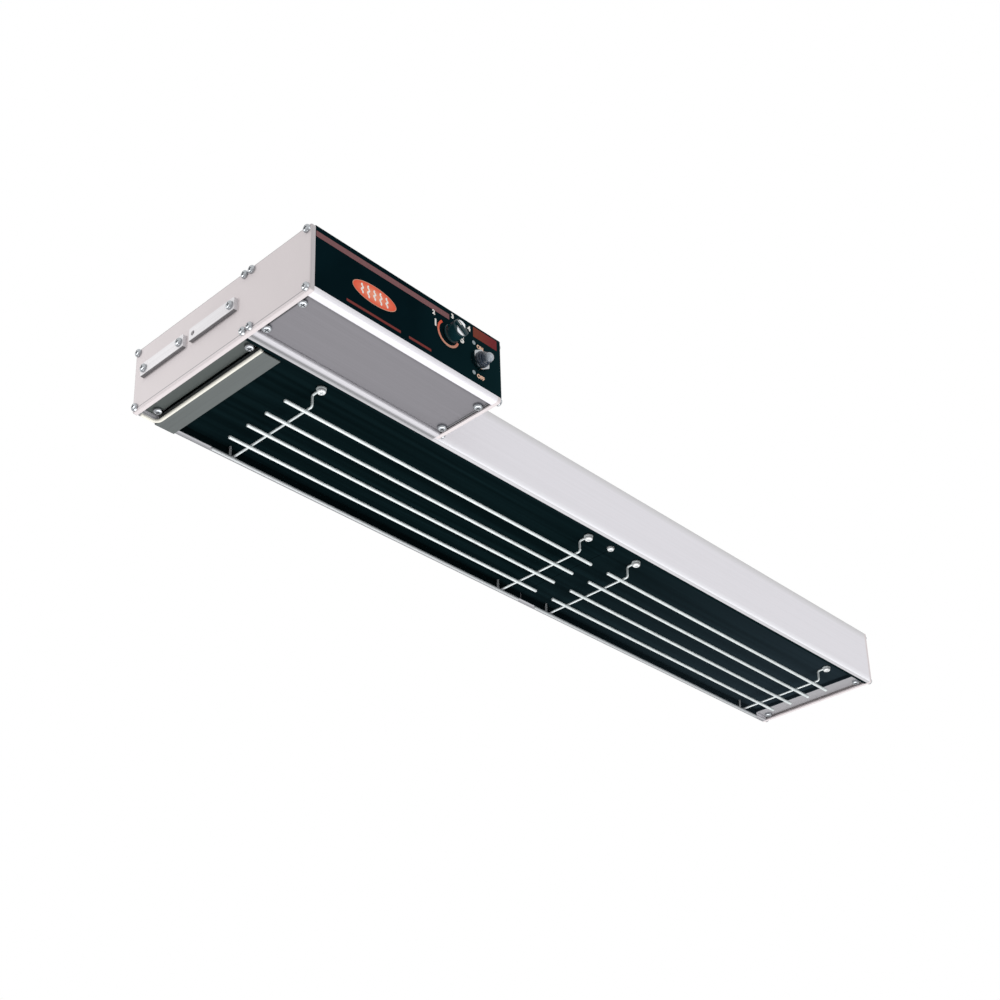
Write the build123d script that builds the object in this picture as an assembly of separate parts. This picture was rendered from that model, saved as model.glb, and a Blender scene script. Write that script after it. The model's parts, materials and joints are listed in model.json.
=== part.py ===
from build123d import *
import math
import os

# Overhead heat lamp warmer: a long strip heater in an extruded trough, with a control box on its front.
# Millimetres. +X runs along the trough from the control box end to the plain end, +Y to the rear,
# +Z up. The origin is at the centre of the trough's top face, where the hanging nuts are.

# ---------------------------------------------------------------- driving dimensions

# Trough and control box, over the end plates
LENGTH = 914.4
HOUSING_WIDTH = 152.4
HEIGHT = 63.5
BOX_LENGTH = 212.0
BOX_WIDTH = 76.2

# Extrusion section
WALL = 2.0
RIM_WIDTH = 7.4           # solid lower rim of the trough, from its outer face
RIM_HEIGHT = 7.5          # its top face carries the emitters
RIM_RADIUS = 3.0
TOP_RADIUS = 1.5
LEDGE_REACH = 18.0        # inner ledge above the emitters, from the outer face
LEDGE_THICKNESS = 2.0
PORT_WIDTH = 10.0         # upper corner block for the end screws
PORT_HEIGHT = 6.0
BOX_FRONT_FLANGE = 8.5
BOX_REAR_FLANGE = 7.0
BOX_FLANGE_ROUND = 1.5
BOX_REAR_RADIUS = 2.0
BOX_LEDGE_REACH = 22.0
BOX_LEDGE_THICKNESS = 2.0

# End plates
END_DEPTH = 4.5
END_WALL = 1.5
END_CORNER_RADIUS = 1.5
END_SCREW_SIDE_INSET = 4.4
END_SCREW_EDGE_INSET = 4.0
END_SCREW_RADIUS = 1.6
END_SCREW_LENGTH = 15.0
END_SCREW_HEAD_RADIUS = 3.6
END_SCREW_HEAD_HEIGHT = 2.8

# Bars on the left end plate
BAR_HEIGHT = 12.5
BAR_THICKNESS = 3.2
BAR_HOLE_INSET = 5.0
BAR_RISE = 29.2           # underside of a bar above the rims
BAR_FRONT_INSET = 13.5    # front bar from the trough's front face
BAR_REAR_INSET = 12.9     # rear bar from its rear face
BAR_GAP = 8.0             # between the two bars
BAR_OPEN_HOLE = 1         # this hole, counted from the front, carries no screw
BAR_SCREW_RADIUS = 2.0
BAR_SCREW_LENGTH = 12.0
BAR_SCREW_HEAD_RADIUS = 3.8
BAR_SCREW_HEAD_HEIGHT = 2.6

# Emitters and what closes their ends
EMITTER_THICKNESS = 1.5
EMITTER_JOINT_GAP = 0.6
STRAP_OFFSET = 22.0       # left face of the end strap's lip, from the left end
STRAP_WIDTH = 20.0
STRAP_THICKNESS = 1.0
STRAP_LIP_HEIGHT = 5.0    # above the rims
STRAP_FRONT_INSET = 9.0   # from the trough's front face
STRAP_REAR_INSET = 1.5    # from its rear face
LEFT_COVER_WIDTH = 14.0
RIGHT_COVER_WIDTH = 19.6
COVER_RECESS = 4.0        # underside of the terminal covers above the rims
COVER_THICKNESS = 1.2
TERMINAL_SCREW_SIDE_INSET = 15.2
TERMINAL_SCREW_END_INSET = 3.5   # from the end of the cover next to the emitters, left
RIGHT_SCREW_END_INSET = 5.8      # from the end of the right cover next to the end plate
SMALL_SCREW_RADIUS = 1.6
SMALL_SCREW_HEAD_RADIUS = 4.3
SMALL_SCREW_HEAD_HEIGHT = 3.2

# Wire guards
GUARD_WIRE_COUNT = 5
GUARD_WIRE_SPACING = 24.5
GUARD_WIRE_RADIUS = 1.6
GUARD_CROSS_RADIUS = 1.1
GUARD_DROP = 7.7          # axis of the long wires below the rims
GUARD_LEFT_INSET = 72.0   # long wires from the left end
GUARD_RIGHT_INSET = 36.4  # long wires from the right end
GUARD_GAP = 24.0          # between the two guards
GUARD_CROSS_INSET = 24.5  # cross wires from the ends of the long wires
GUARD_REAR_INSET = 14.9   # axis of the rearmost long wire from the trough's rear face
GUARD_RISE_GAP = 6.5      # rising leg in front of the foremost long wire
GUARD_EYE_INSET = 21.5    # centre of the eyes from the trough's front face
GUARD_EYE_RADIUS = 4.4
GUARD_PIN_GAP = 1.2       # rear pins clear of the rim
WIRE_BEND = 2.4
GUARD_SCREW_RADIUS = 1.8
GUARD_SCREW_HEAD_RADIUS = 4.0
GUARD_SCREW_HEAD_HEIGHT = 3.0
CENTER_SCREW_OFFSET = 3.0  # towards the left from the middle of the guards
CENTER_SCREW_HEAD_RADIUS = 3.6

# Heating elements, clamps and insulation
ELEMENT_RADIUS = 4.0
ELEMENT_LEG_OFFSET = 36.0  # each leg from the trough's middle
ELEMENT_END_GAP = 24.0     # sheath ends short of the emitter's outer end
ELEMENT_BEND_GAP = 18.0    # bend short of the emitter's inner end
PIN_RADIUS = 1.6
PIN_LENGTH = 12.0
CLAMP_WIDTH = 12.0
CLAMP_THICKNESS = 2.0
CLAMP_FOOT = 12.0
INSULATION_SIDE_GAP = 2.0
INSULATION_END_GAP = 16.0  # from the emitter's outer end, clear of the leads
SHIELD_DROP = 22.6         # shield's top below the top face, room for the leads over it
SHIELD_THICKNESS = 1.0
SHIELD_SIDE_INSET = 16.0   # from the trough's front and rear faces
SHIELD_END_GAP = 14.0

# Control panel, knob and switch; insets are from the box's right end and drops from the top face
PANEL_THICKNESS = 1.2
PANEL_RISE = 5.0           # lower edge above the rims
DIAL_INSET = 61.0
DIAL_DROP = 25.5
KNOB_RADIUS = 8.2
KNOB_TOP_RADIUS = 7.6
KNOB_HEIGHT = 14.0
KNOB_GAP = 1.0
KNOB_GRIP_WIDTH = 5.0
KNOB_GRIP_HEIGHT = 2.0
KNOB_TILT = 33.0           # degrees, the grip's left end above its right end
SHAFT_RADIUS = 2.5
SHAFT_DEPTH = 12.0         # held inside the control
BUSHING_RADIUS = 3.6
BUSHING_LENGTH = 3.0       # in front of the panel
CONTROL_WIDTH = 40.0
CONTROL_HEIGHT = 34.0
CONTROL_DEPTH = 32.0
CONTROL_NUT_FLATS = 10.0
CONTROL_NUT_THICKNESS = 2.0
TOGGLE_INSET = 27.0
TOGGLE_DROP = 34.5
TOGGLE_BODY_WIDTH = 15.0
TOGGLE_BODY_HEIGHT = 22.0
TOGGLE_BODY_DEPTH = 25.0
TOGGLE_BUSHING_RADIUS = 5.9
TOGGLE_BUSHING_LENGTH = 3.8
TOGGLE_THROW = 25.0        # degrees between off and on
BALL_RADIUS = 4.2
LEVER_RADIUS = 1.6
BOOT_NUT_FLATS = 17.5
BOOT_NUT_THICKNESS = 4.0
BOOT_BASE_RADIUS = 6.5
BOOT_TIP_RADIUS = 4.4
BOOT_HEIGHT = 6.0          # of its cone
BOOT_WALL = 1.2

# Box cover
BOX_COVER_RECESS = 3.0
BOX_COVER_END_GAP = 1.0
BOX_SCREW_END_INSET = 9.0
BOX_SCREW_FRONT_INSET = 19.0
BOX_SCREW_REAR_INSET = 14.0

# Wiring
GROMMET_X = 24.0           # from the left end
GROMMET_DROP = 21.5        # below the top face
GROMMET_HOLE_RADIUS = 8.0
GROMMET_FLANGE_RADIUS = 10.5
GROMMET_BORE_RADIUS = 6.0
GROMMET_FLANGE = 1.5
LEAD_RADIUS = 1.25
LEAD_SPACING = 5.0
LEAD_BEND = 6.0
BLOCK_X = 46.0             # left face from the left end
BLOCK_LENGTH = 50.0
BLOCK_DEPTH = 20.0
BLOCK_HEIGHT = 24.0
BLOCK_WAYS = 4
BLOCK_SCREW_RADIUS = 2.4
INLET_HOLE_RADIUS = 11.1
INLET_BORE_RADIUS = 8.0
INLET_FLANGE_RADIUS = 13.0
INLET_FLANGE = 1.5
INLET_LENGTH = 8.5
INLET_DROP = 29.5
JOINING_SCREW_LEFT_INSET = 40.0
JOINING_SCREW_RIGHT_INSET = 16.0
JOINING_SCREW_DROP = 14.0
JOINING_SCREW_RADIUS = 2.0
JOINING_SCREW_HEAD_RADIUS = 3.6
JOINING_SCREW_HEAD_HEIGHT = 2.4
GROUND_SCREW_X = 30.0
GROUND_SCREW_DROP = 44.0
GROUND_SCREW_FLATS = 8.0
GROUND_SCREW_HEAD = 3.5

# Hanging nuts
HANGER_END_INSET = 50.8
HANGER_SIDE_INSET = 25.4
HANGER_BORE_RADIUS = 2.5
HANGER_SHANK_RADIUS = 3.5
HANGER_BODY_RADIUS = 5.5
HANGER_LENGTH = 8.0

# Clearances
SEAT_GAP = 0.3             # a loose part beside its seat
SLIDE_GAP = 0.3            # emitter in its slot
THREAD_GAP = 0.05          # a screw's thread in its hole
RUNNING_GAP = 0.05         # the shaft in its bushing
HOLE_GAP = 0.3             # a screw or wire through a plain hole
OVERCUT = 1.0              # how far a cut runs past the face it opens

# ---------------------------------------------------------------- places worked out from them

LEFT = -LENGTH / 2
RIGHT = LENGTH / 2
FRONT = -HOUSING_WIDTH / 2
REAR = HOUSING_WIDTH / 2
BOTTOM = -HEIGHT
BOX_FRONT = FRONT - BOX_WIDTH
BOX_RIGHT = LEFT + BOX_LENGTH
BODY_LEFT = LEFT + END_DEPTH
BODY_RIGHT = RIGHT - END_DEPTH
BOX_BODY_RIGHT = BOX_RIGHT - END_DEPTH
BOX_WALL_FACE = BOX_FRONT + PANEL_THICKNESS      # front wall's face behind the panel
BOX_INNER_FRONT = BOX_WALL_FACE + WALL
BOX_INNER_REAR = FRONT - WALL

EMITTER_SEAT = BOTTOM + RIM_HEIGHT
EMITTER_TOP = EMITTER_SEAT + EMITTER_THICKNESS
LEDGE_BOTTOM = EMITTER_TOP + SLIDE_GAP
LEDGE_TOP = LEDGE_BOTTOM + LEDGE_THICKNESS
EMITTER_LEFT = LEFT + STRAP_OFFSET + STRAP_THICKNESS + SEAT_GAP
RIGHT_COVER_LEFT = BODY_RIGHT - SEAT_GAP - RIGHT_COVER_WIDTH
EMITTER_RIGHT = RIGHT_COVER_LEFT - SEAT_GAP
ELEMENT_Z = EMITTER_TOP + SEAT_GAP / 2 + ELEMENT_RADIUS
CLAMP_UNDER = ELEMENT_Z + ELEMENT_RADIUS + SEAT_GAP / 2
CLAMP_TOP = CLAMP_UNDER + CLAMP_THICKNESS
INSULATION_BOTTOM = CLAMP_TOP + SEAT_GAP
SHIELD_TOP = -SHIELD_DROP
SHIELD_UNDER = SHIELD_TOP - SHIELD_THICKNESS
INSULATION_TOP = SHIELD_UNDER - SEAT_GAP

GUARD_Z = BOTTOM - GUARD_DROP
GUARD_CROSS_Z = GUARD_Z + GUARD_WIRE_RADIUS + 0.8 * GUARD_CROSS_RADIUS
GUARD_REAR_Y = REAR - GUARD_REAR_INSET
GUARD_FRONT_Y = GUARD_REAR_Y - (GUARD_WIRE_COUNT - 1) * GUARD_WIRE_SPACING
GUARD_PIN_Y = REAR - RIM_WIDTH - GUARD_PIN_GAP - GUARD_CROSS_RADIUS
GUARD_EYE_Y = FRONT + GUARD_EYE_INSET
GUARD_EYE_Z = EMITTER_SEAT - GUARD_CROSS_RADIUS
GUARD_LEFT = LEFT + GUARD_LEFT_INSET
GUARD_RIGHT = RIGHT - GUARD_RIGHT_INSET
GUARD_MIDDLE = (GUARD_LEFT + GUARD_RIGHT) / 2    # the emitters meet here too

DIAL = (BOX_RIGHT - DIAL_INSET, -DIAL_DROP)      # X and Z of the knob's axis
TOGGLE = (BOX_RIGHT - TOGGLE_INSET, -TOGGLE_DROP)
BUSHING_END = BOX_FRONT - BUSHING_LENGTH
TOGGLE_BUSHING_END = BOX_FRONT - TOGGLE_BUSHING_LENGTH
TOGGLE_PIVOT_Y = TOGGLE_BUSHING_END + BALL_RADIUS * 0.4
BOOT_BASE_Y = TOGGLE_PIVOT_Y - 3.6
OFF_ANGLE = TOGGLE_THROW / 2

BLOCK_MIDDLE_Z = -GROMMET_DROP
LEAD_ROWS_Y = (BOX_INNER_REAR - 9.0, BOX_INNER_REAR - 9.0 - LEAD_SPACING)
LEAD_BORE_OFFSET = LEAD_SPACING / 2


# ---------------------------------------------------------------- helpers

def block(x0, x1, y0, y1, z0, z1):
    """A box between two corners."""
    return Pos((x0 + x1) / 2, (y0 + y1) / 2, (z0 + z1) / 2) * Box(x1 - x0, y1 - y0, z1 - z0)


def region(y0, y1, z0, z1):
    """A rectangle in a section seen along X, its first axis Y and its second Z."""
    return Pos((y0 + y1) / 2, (z0 + z1) / 2) * Rectangle(y1 - y0, z1 - z0)


def along_x(sketch, x0, x1):
    """A section pulled along X from x0 to x1."""
    return extrude(Plane(origin=(x0, 0, 0), x_dir=(0, 1, 0), z_dir=(1, 0, 0)) * sketch, x1 - x0)


def rod(start, end, radius):
    """A round rod from one point to another."""
    direction = Vector(*end) - Vector(*start)
    return Plane(origin=start, z_dir=direction) * Cylinder(
        radius, direction.length, align=(Align.CENTER, Align.CENTER, Align.MIN)
    )


def hexagon_prism(start, end, flats):
    """A hexagonal prism from one point to another, flats across."""
    direction = Vector(*end) - Vector(*start)
    section = Plane(origin=start, z_dir=direction) * RegularPolygon(flats / math.sqrt(3), 6)
    return extrude(section, direction.length, dir=direction)


def screw(seat, direction, length, radius, head_radius, head_height):
    """A pan head screw: its head stands off the seat, its shank runs from it along direction."""
    axis = Vector(*direction).normalized()
    seat = Vector(*seat)
    head = rod(tuple(seat - axis * head_height), tuple(seat), head_radius)
    crown = head.faces().sort_by(Axis(tuple(seat), tuple(axis)))[0]
    head = fillet(crown.edges(), head_height * 0.6)
    slot_depth = head_height * 0.4
    slot_center = seat - axis * (head_height - slot_depth / 2)
    slot_plane = Plane(origin=tuple(slot_center), z_dir=tuple(axis))
    slots = [slot_plane * Box(head_radius * 1.1, head_height * 0.28, slot_depth)]
    slots.append(slot_plane * Box(head_height * 0.28, head_radius * 1.1, slot_depth))
    return head - slots + rod(tuple(seat), tuple(seat + axis * length), radius)


def wire(points, bend, radius):
    """A round wire along straight runs joined by arcs of one bend radius."""
    path = FilletPolyline(*points, radius=bend)
    section = Plane(origin=path @ 0, z_dir=path % 0) * Circle(radius)
    return sweep(section, path=path)


def save(name, *solids):
    """Write one node from its solids."""
    bodies = [body for piece in solids for body in piece.solids()]
    shape = bodies[0] if len(bodies) == 1 else Compound(children=bodies)
    export_step(shape, os.path.join("parts", name + ".step"))


# ---------------------------------------------------------------- extrusions and end plates

def trough_outline():
    """The trough's outer section."""
    outer = region(FRONT, REAR, BOTTOM, 0)
    outer = fillet(outer.vertices().group_by(Axis.Y)[0], RIM_RADIUS)
    return fillet(outer.vertices().group_by(Axis.Y)[-1], TOP_RADIUS)


def box_outline():
    """The control box's outer section, set back behind the panel above its front nose."""
    nose_top = BOTTOM + PANEL_RISE
    outer = region(BOX_FRONT, FRONT, BOTTOM, 0)
    lower = outer.vertices().group_by(Axis.Y)[0].sort_by(Axis.X)
    outer = fillet(lower[0], RIM_RADIUS)
    lower = outer.vertices().group_by(Axis.Y)[0].sort_by(Axis.X)
    outer = fillet(lower[-1], BOX_REAR_RADIUS)
    return outer - region(BOX_FRONT - OVERCUT, BOX_WALL_FACE, nose_top, OVERCUT)


def end_screw_points():
    """Section places (Y, Z) of the end screws, four for the trough and four for the box."""
    heights = (BOTTOM + END_SCREW_EDGE_INSET, -END_SCREW_EDGE_INSET)
    trough = (FRONT + END_SCREW_SIDE_INSET, REAR - END_SCREW_SIDE_INSET)
    box = (BOX_FRONT + END_SCREW_SIDE_INSET, FRONT - END_SCREW_SIDE_INSET)
    return ([(y, z) for y in trough for z in heights], [(y, z) for y in box for z in heights])


def end_holes(points, x0, x1, radius):
    return [rod((x0, y, z), (x1, y, z), radius) for y, z in points]


def main_housing():
    outer = trough_outline()
    inner = region(FRONT + WALL, REAR - WALL, BOTTOM - OVERCUT, -WALL)
    fittings = Sketch()
    for side, inward in ((FRONT, 1), (REAR, -1)):
        def strip(reach, z0, z1):
            edge = side + inward * reach
            return region(min(side, edge), max(side, edge), z0, z1)
        fittings += strip(RIM_WIDTH, BOTTOM, EMITTER_SEAT)
        fittings += strip(LEDGE_REACH, LEDGE_BOTTOM, LEDGE_TOP)
        fittings += strip(PORT_WIDTH, -WALL - PORT_HEIGHT, -WALL)
    section = (outer - inner) + (fittings & outer)
    body = along_x(section, BODY_LEFT, BODY_RIGHT)
    trough_points, _ = end_screw_points()
    reach = END_SCREW_LENGTH + OVERCUT
    radius = END_SCREW_RADIUS + THREAD_GAP
    body -= end_holes(trough_points, BODY_LEFT - OVERCUT, LEFT + reach, radius)
    body -= end_holes(trough_points, RIGHT - reach, BODY_RIGHT + OVERCUT, radius)
    body -= [rod((x, y, -WALL - OVERCUT), (x, y, OVERCUT), HANGER_SHANK_RADIUS) for x, y in hanger_points()]
    body -= lead_passage(FRONT - OVERCUT, FRONT + WALL + OVERCUT)
    body -= joining_holes(FRONT - OVERCUT, FRONT + WALL + OVERCUT)
    body -= cover_screw_holes(terminal_screw_points(), LEDGE_BOTTOM - OVERCUT, LEDGE_TOP + OVERCUT)
    return body


def control_box_housing():
    outer = box_outline()
    inner = region(BOX_INNER_FRONT, BOX_INNER_REAR, BOTTOM - OVERCUT, -WALL)
    ledge_bottom = BOTTOM + BOX_COVER_RECESS + COVER_THICKNESS
    ledge_top = ledge_bottom + BOX_LEDGE_THICKNESS
    front_flange = region(BOX_FRONT, BOX_FRONT + BOX_FRONT_FLANGE, BOTTOM, ledge_top)
    inner_corner = front_flange.vertices().group_by(Axis.Y)[0].sort_by(Axis.X)[-1]
    fittings = fillet(inner_corner, BOX_FLANGE_ROUND)
    rear_flange = region(FRONT - BOX_REAR_FLANGE, FRONT, BOTTOM, ledge_top)
    inner_corner = rear_flange.vertices().group_by(Axis.Y)[0].sort_by(Axis.X)[0]
    fittings += fillet(inner_corner, BOX_FLANGE_ROUND)
    fittings += region(BOX_FRONT, BOX_FRONT + BOX_LEDGE_REACH, ledge_bottom, ledge_top)
    fittings += region(FRONT - BOX_LEDGE_REACH, FRONT, ledge_bottom, ledge_top)
    fittings += region(BOX_FRONT, BOX_FRONT + PORT_WIDTH, -WALL - PORT_HEIGHT, -WALL)
    fittings += region(FRONT - PORT_WIDTH, FRONT, -WALL - PORT_HEIGHT, -WALL)
    section = (outer - inner) + (fittings & outer)
    body = along_x(section, BODY_LEFT, BOX_BODY_RIGHT)
    _, box_points = end_screw_points()
    reach = END_SCREW_LENGTH + OVERCUT
    radius = END_SCREW_RADIUS + THREAD_GAP
    body -= end_holes(box_points, BODY_LEFT - OVERCUT, LEFT + reach, radius)
    body -= end_holes(box_points, BOX_RIGHT - reach, BOX_BODY_RIGHT + OVERCUT, radius)
    body -= lead_passage(BOX_INNER_REAR - OVERCUT, FRONT + OVERCUT)
    body -= joining_holes(BOX_INNER_REAR - OVERCUT, FRONT + OVERCUT)
    body -= cover_screw_holes(box_cover_screw_points(), ledge_bottom - OVERCUT, ledge_top + OVERCUT)
    wall_span = (BOX_WALL_FACE - OVERCUT, BOX_INNER_FRONT + OVERCUT)
    body -= panel_holes(*wall_span)
    return body


def pan(outline, x_plate, x_edge, points):
    """An end plate with a turned rim, from its outer face at x_plate to its edge at x_edge."""
    inward = 1 if x_edge > x_plate else -1
    x_inner = x_plate + inward * END_WALL
    shell = along_x(outline, min(x_plate, x_edge), max(x_plate, x_edge))
    outer_face = shell.faces().sort_by(Axis.X)[0 if inward > 0 else -1]
    shell = fillet(outer_face.outer_wire().edges(), END_CORNER_RADIUS)
    hollow = along_x(offset(outline, -END_WALL), min(x_inner, x_edge + inward), max(x_inner, x_edge + inward))
    shell -= hollow
    holes = end_holes(points, x_plate - inward, x_inner + inward, END_SCREW_RADIUS + HOLE_GAP)
    return shell - holes


def left_end_plate():
    trough_points, box_points = end_screw_points()
    outline = region(BOX_FRONT, REAR, BOTTOM, 0)
    outline = fillet(outline.vertices(), TOP_RADIUS)
    plate = pan(outline, LEFT, BODY_LEFT, trough_points + box_points)
    holes = [rod((LEFT - OVERCUT, y, z), (LEFT + END_WALL + OVERCUT, y, z), BAR_SCREW_RADIUS + THREAD_GAP)
             for y, z in bar_hole_points()]
    return plate - holes


def right_end_plate():
    trough_points, _ = end_screw_points()
    return pan(trough_outline(), RIGHT, BODY_RIGHT, trough_points)


def control_box_end_plate():
    _, box_points = end_screw_points()
    plate = pan(box_outline(), BOX_RIGHT, BOX_BODY_RIGHT, box_points)
    inlet = inlet_center()
    return plate - rod((BOX_BODY_RIGHT - OVERCUT, *inlet), (BOX_RIGHT + OVERCUT, *inlet), INLET_HOLE_RADIUS)


def end_plate_screws():
    trough_points, box_points = end_screw_points()
    sizes = (END_SCREW_LENGTH, END_SCREW_RADIUS, END_SCREW_HEAD_RADIUS, END_SCREW_HEAD_HEIGHT)
    left = [screw((LEFT, y, z), (1, 0, 0), *sizes) for y, z in trough_points + box_points]
    right = [screw((RIGHT, y, z), (-1, 0, 0), *sizes) for y, z in trough_points]
    box = [screw((BOX_RIGHT, y, z), (-1, 0, 0), *sizes) for y, z in box_points]
    return left + right + box


# ---------------------------------------------------------------- bars on the left end plate

def bar_spans():
    """Y of the front and rear ends of each bar."""
    front = FRONT + BAR_FRONT_INSET
    rear = REAR - BAR_REAR_INSET
    length = (rear - front - BAR_GAP) / 2
    return [(front, front + length), (rear - length, rear)]


def bar_hole_points():
    z = BOTTOM + BAR_RISE + BAR_HEIGHT / 2
    ys = [y for y0, y1 in bar_spans() for y in (y0 + BAR_HOLE_INSET, y1 - BAR_HOLE_INSET)]
    return [(y, z) for y in ys]


def left_mounting_bars():
    bars = []
    z0 = BOTTOM + BAR_RISE
    for y0, y1 in bar_spans():
        bar = block(LEFT - BAR_THICKNESS, LEFT, y0, y1, z0, z0 + BAR_HEIGHT)
        bar = fillet(bar.edges().filter_by(Axis.X), BAR_THICKNESS / 3)
        for y, z in bar_hole_points():
            bar -= rod((LEFT - BAR_THICKNESS - OVERCUT, y, z), (LEFT + OVERCUT, y, z),
                       BAR_SCREW_RADIUS + HOLE_GAP)
        bars.append(bar)
    return bars


def mounting_bar_screws():
    return [screw((LEFT - BAR_THICKNESS, y, z), (1, 0, 0), BAR_SCREW_LENGTH, BAR_SCREW_RADIUS,
                  BAR_SCREW_HEAD_RADIUS, BAR_SCREW_HEAD_HEIGHT)
            for index, (y, z) in enumerate(bar_hole_points()) if index != BAR_OPEN_HOLE]


# ---------------------------------------------------------------- covers under the trough and the box

def cover_screw_holes(points, z0, z1):
    return [rod((x, y, z0), (x, y, z1), SMALL_SCREW_RADIUS + THREAD_GAP) for x, y in points]


def terminal_screw_points():
    left_x = BODY_LEFT + SEAT_GAP + LEFT_COVER_WIDTH - TERMINAL_SCREW_END_INSET
    right_x = BODY_RIGHT - SEAT_GAP - RIGHT_SCREW_END_INSET
    sides = (FRONT + TERMINAL_SCREW_SIDE_INSET, REAR - TERMINAL_SCREW_SIDE_INSET)
    return [(x, y) for x in (left_x, right_x) for y in sides]


def terminal_cover(x0, x1):
    """A strip between the rims, its two ends turned up to the ledges."""
    y0 = FRONT + RIM_WIDTH + SEAT_GAP
    y1 = REAR - RIM_WIDTH - SEAT_GAP
    z0 = BOTTOM + COVER_RECESS
    cover = block(x0, x1, y0, y1, z0, LEDGE_BOTTOM)
    cover -= block(x0 - OVERCUT, x1 + OVERCUT, y0 + COVER_THICKNESS, y1 - COVER_THICKNESS,
                   z0 + COVER_THICKNESS, LEDGE_BOTTOM + OVERCUT)
    holes = [rod((x, y, z0 - OVERCUT), (x, y, z0 + 2 * COVER_THICKNESS), SMALL_SCREW_RADIUS + HOLE_GAP)
             for x, y in terminal_screw_points()]
    return cover - holes


def left_terminal_cover():
    x0 = BODY_LEFT + SEAT_GAP
    return terminal_cover(x0, x0 + LEFT_COVER_WIDTH)


def right_terminal_cover():
    x1 = BODY_RIGHT - SEAT_GAP
    return terminal_cover(x1 - RIGHT_COVER_WIDTH, x1)


def terminal_cover_screws():
    seat = BOTTOM + COVER_RECESS
    length = LEDGE_TOP - seat + OVERCUT
    return [screw((x, y, seat), (0, 0, 1), length, SMALL_SCREW_RADIUS, SMALL_SCREW_HEAD_RADIUS,
                  SMALL_SCREW_HEAD_HEIGHT) for x, y in terminal_screw_points()]


def left_end_strap():
    """A flat strap under the rims, its left edge turned up between them as a lip."""
    x0 = LEFT + STRAP_OFFSET
    flat = block(x0, x0 + STRAP_WIDTH, FRONT + STRAP_FRONT_INSET, REAR - STRAP_REAR_INSET,
                 BOTTOM - STRAP_THICKNESS, BOTTOM)
    y0 = FRONT + RIM_WIDTH + SEAT_GAP
    y1 = REAR - RIM_WIDTH - SEAT_GAP
    lip = block(x0, x0 + STRAP_THICKNESS, y0, y1, BOTTOM - STRAP_THICKNESS, BOTTOM + STRAP_LIP_HEIGHT)
    strap = flat + lip
    corner = strap.edges().filter_by(Axis.Y).sort_by(Axis.Z)
    corner = corner.filter_by_position(Axis.X, x0 - SEAT_GAP, x0 + SEAT_GAP)[0:1]
    return fillet(corner, STRAP_THICKNESS * 0.9)


def box_cover_screw_points():
    xs = (LEFT + BOX_SCREW_END_INSET, BOX_RIGHT - BOX_SCREW_END_INSET)
    ys = (BOX_FRONT + BOX_SCREW_FRONT_INSET, FRONT - BOX_SCREW_REAR_INSET)
    return [(x, y) for x in xs for y in ys]


def control_box_cover():
    z0 = BOTTOM + BOX_COVER_RECESS
    cover = block(BODY_LEFT + BOX_COVER_END_GAP, BOX_BODY_RIGHT - BOX_COVER_END_GAP,
                  BOX_FRONT + BOX_FRONT_FLANGE + SEAT_GAP, FRONT - BOX_REAR_FLANGE - SEAT_GAP,
                  z0, z0 + COVER_THICKNESS)
    holes = [rod((x, y, z0 - OVERCUT), (x, y, z0 + 2 * COVER_THICKNESS), SMALL_SCREW_RADIUS + HOLE_GAP)
             for x, y in box_cover_screw_points()]
    return cover - holes


def control_cover_screws():
    seat = BOTTOM + BOX_COVER_RECESS
    length = COVER_THICKNESS + BOX_LEDGE_THICKNESS + OVERCUT
    return [screw((x, y, seat), (0, 0, 1), length, SMALL_SCREW_RADIUS, SMALL_SCREW_HEAD_RADIUS,
                  SMALL_SCREW_HEAD_HEIGHT) for x, y in box_cover_screw_points()]


# ---------------------------------------------------------------- emitters and what lies behind them

def emitter_span(side):
    """X of an emitter's outer and inner ends, for side -1 (left) or 1 (right)."""
    inner = GUARD_MIDDLE + side * EMITTER_JOINT_GAP / 2
    return (EMITTER_LEFT, inner) if side < 0 else (EMITTER_RIGHT, inner)


def guard_span(side):
    """X of the left and right ends of a guard's long wires, for side -1 (left) or 1 (right)."""
    middle = GUARD_MIDDLE + side * GUARD_GAP / 2
    return (GUARD_LEFT, middle) if side < 0 else (middle, GUARD_RIGHT)


def cross_wire_xs(side):
    left, right = guard_span(side)
    return [left + GUARD_CROSS_INSET, right - GUARD_CROSS_INSET]


def emitter(side):
    """A flat panel in the trough's slots, its outer end turned down between the rims."""
    outer, inner = emitter_span(side)
    y0 = FRONT + WALL + SEAT_GAP
    y1 = REAR - WALL - SEAT_GAP
    panel = block(min(outer, inner), max(outer, inner), y0, y1, EMITTER_SEAT, EMITTER_TOP)
    turned = outer - side * EMITTER_THICKNESS
    drop = BOTTOM + SEAT_GAP if side < 0 else BOTTOM + COVER_RECESS
    panel += block(min(outer, turned), max(outer, turned), FRONT + RIM_WIDTH + SEAT_GAP,
                   REAR - RIM_WIDTH - SEAT_GAP, drop, EMITTER_SEAT)
    cuts = []
    z0 = EMITTER_SEAT - OVERCUT
    z1 = EMITTER_TOP + OVERCUT
    for x in cross_wire_xs(side):
        cuts.append(rod((x, GUARD_EYE_Y, z0), (x, GUARD_EYE_Y, z1), GUARD_SCREW_RADIUS + HOLE_GAP))
        cuts.append(rod((x, GUARD_PIN_Y, z0), (x, GUARD_PIN_Y, z1), GUARD_CROSS_RADIUS + HOLE_GAP))
    x = GUARD_MIDDLE - CENTER_SCREW_OFFSET
    cuts.append(rod((x, GUARD_EYE_Y, z0), (x, GUARD_EYE_Y, z1), GUARD_SCREW_RADIUS + HOLE_GAP))
    return panel - cuts


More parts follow.
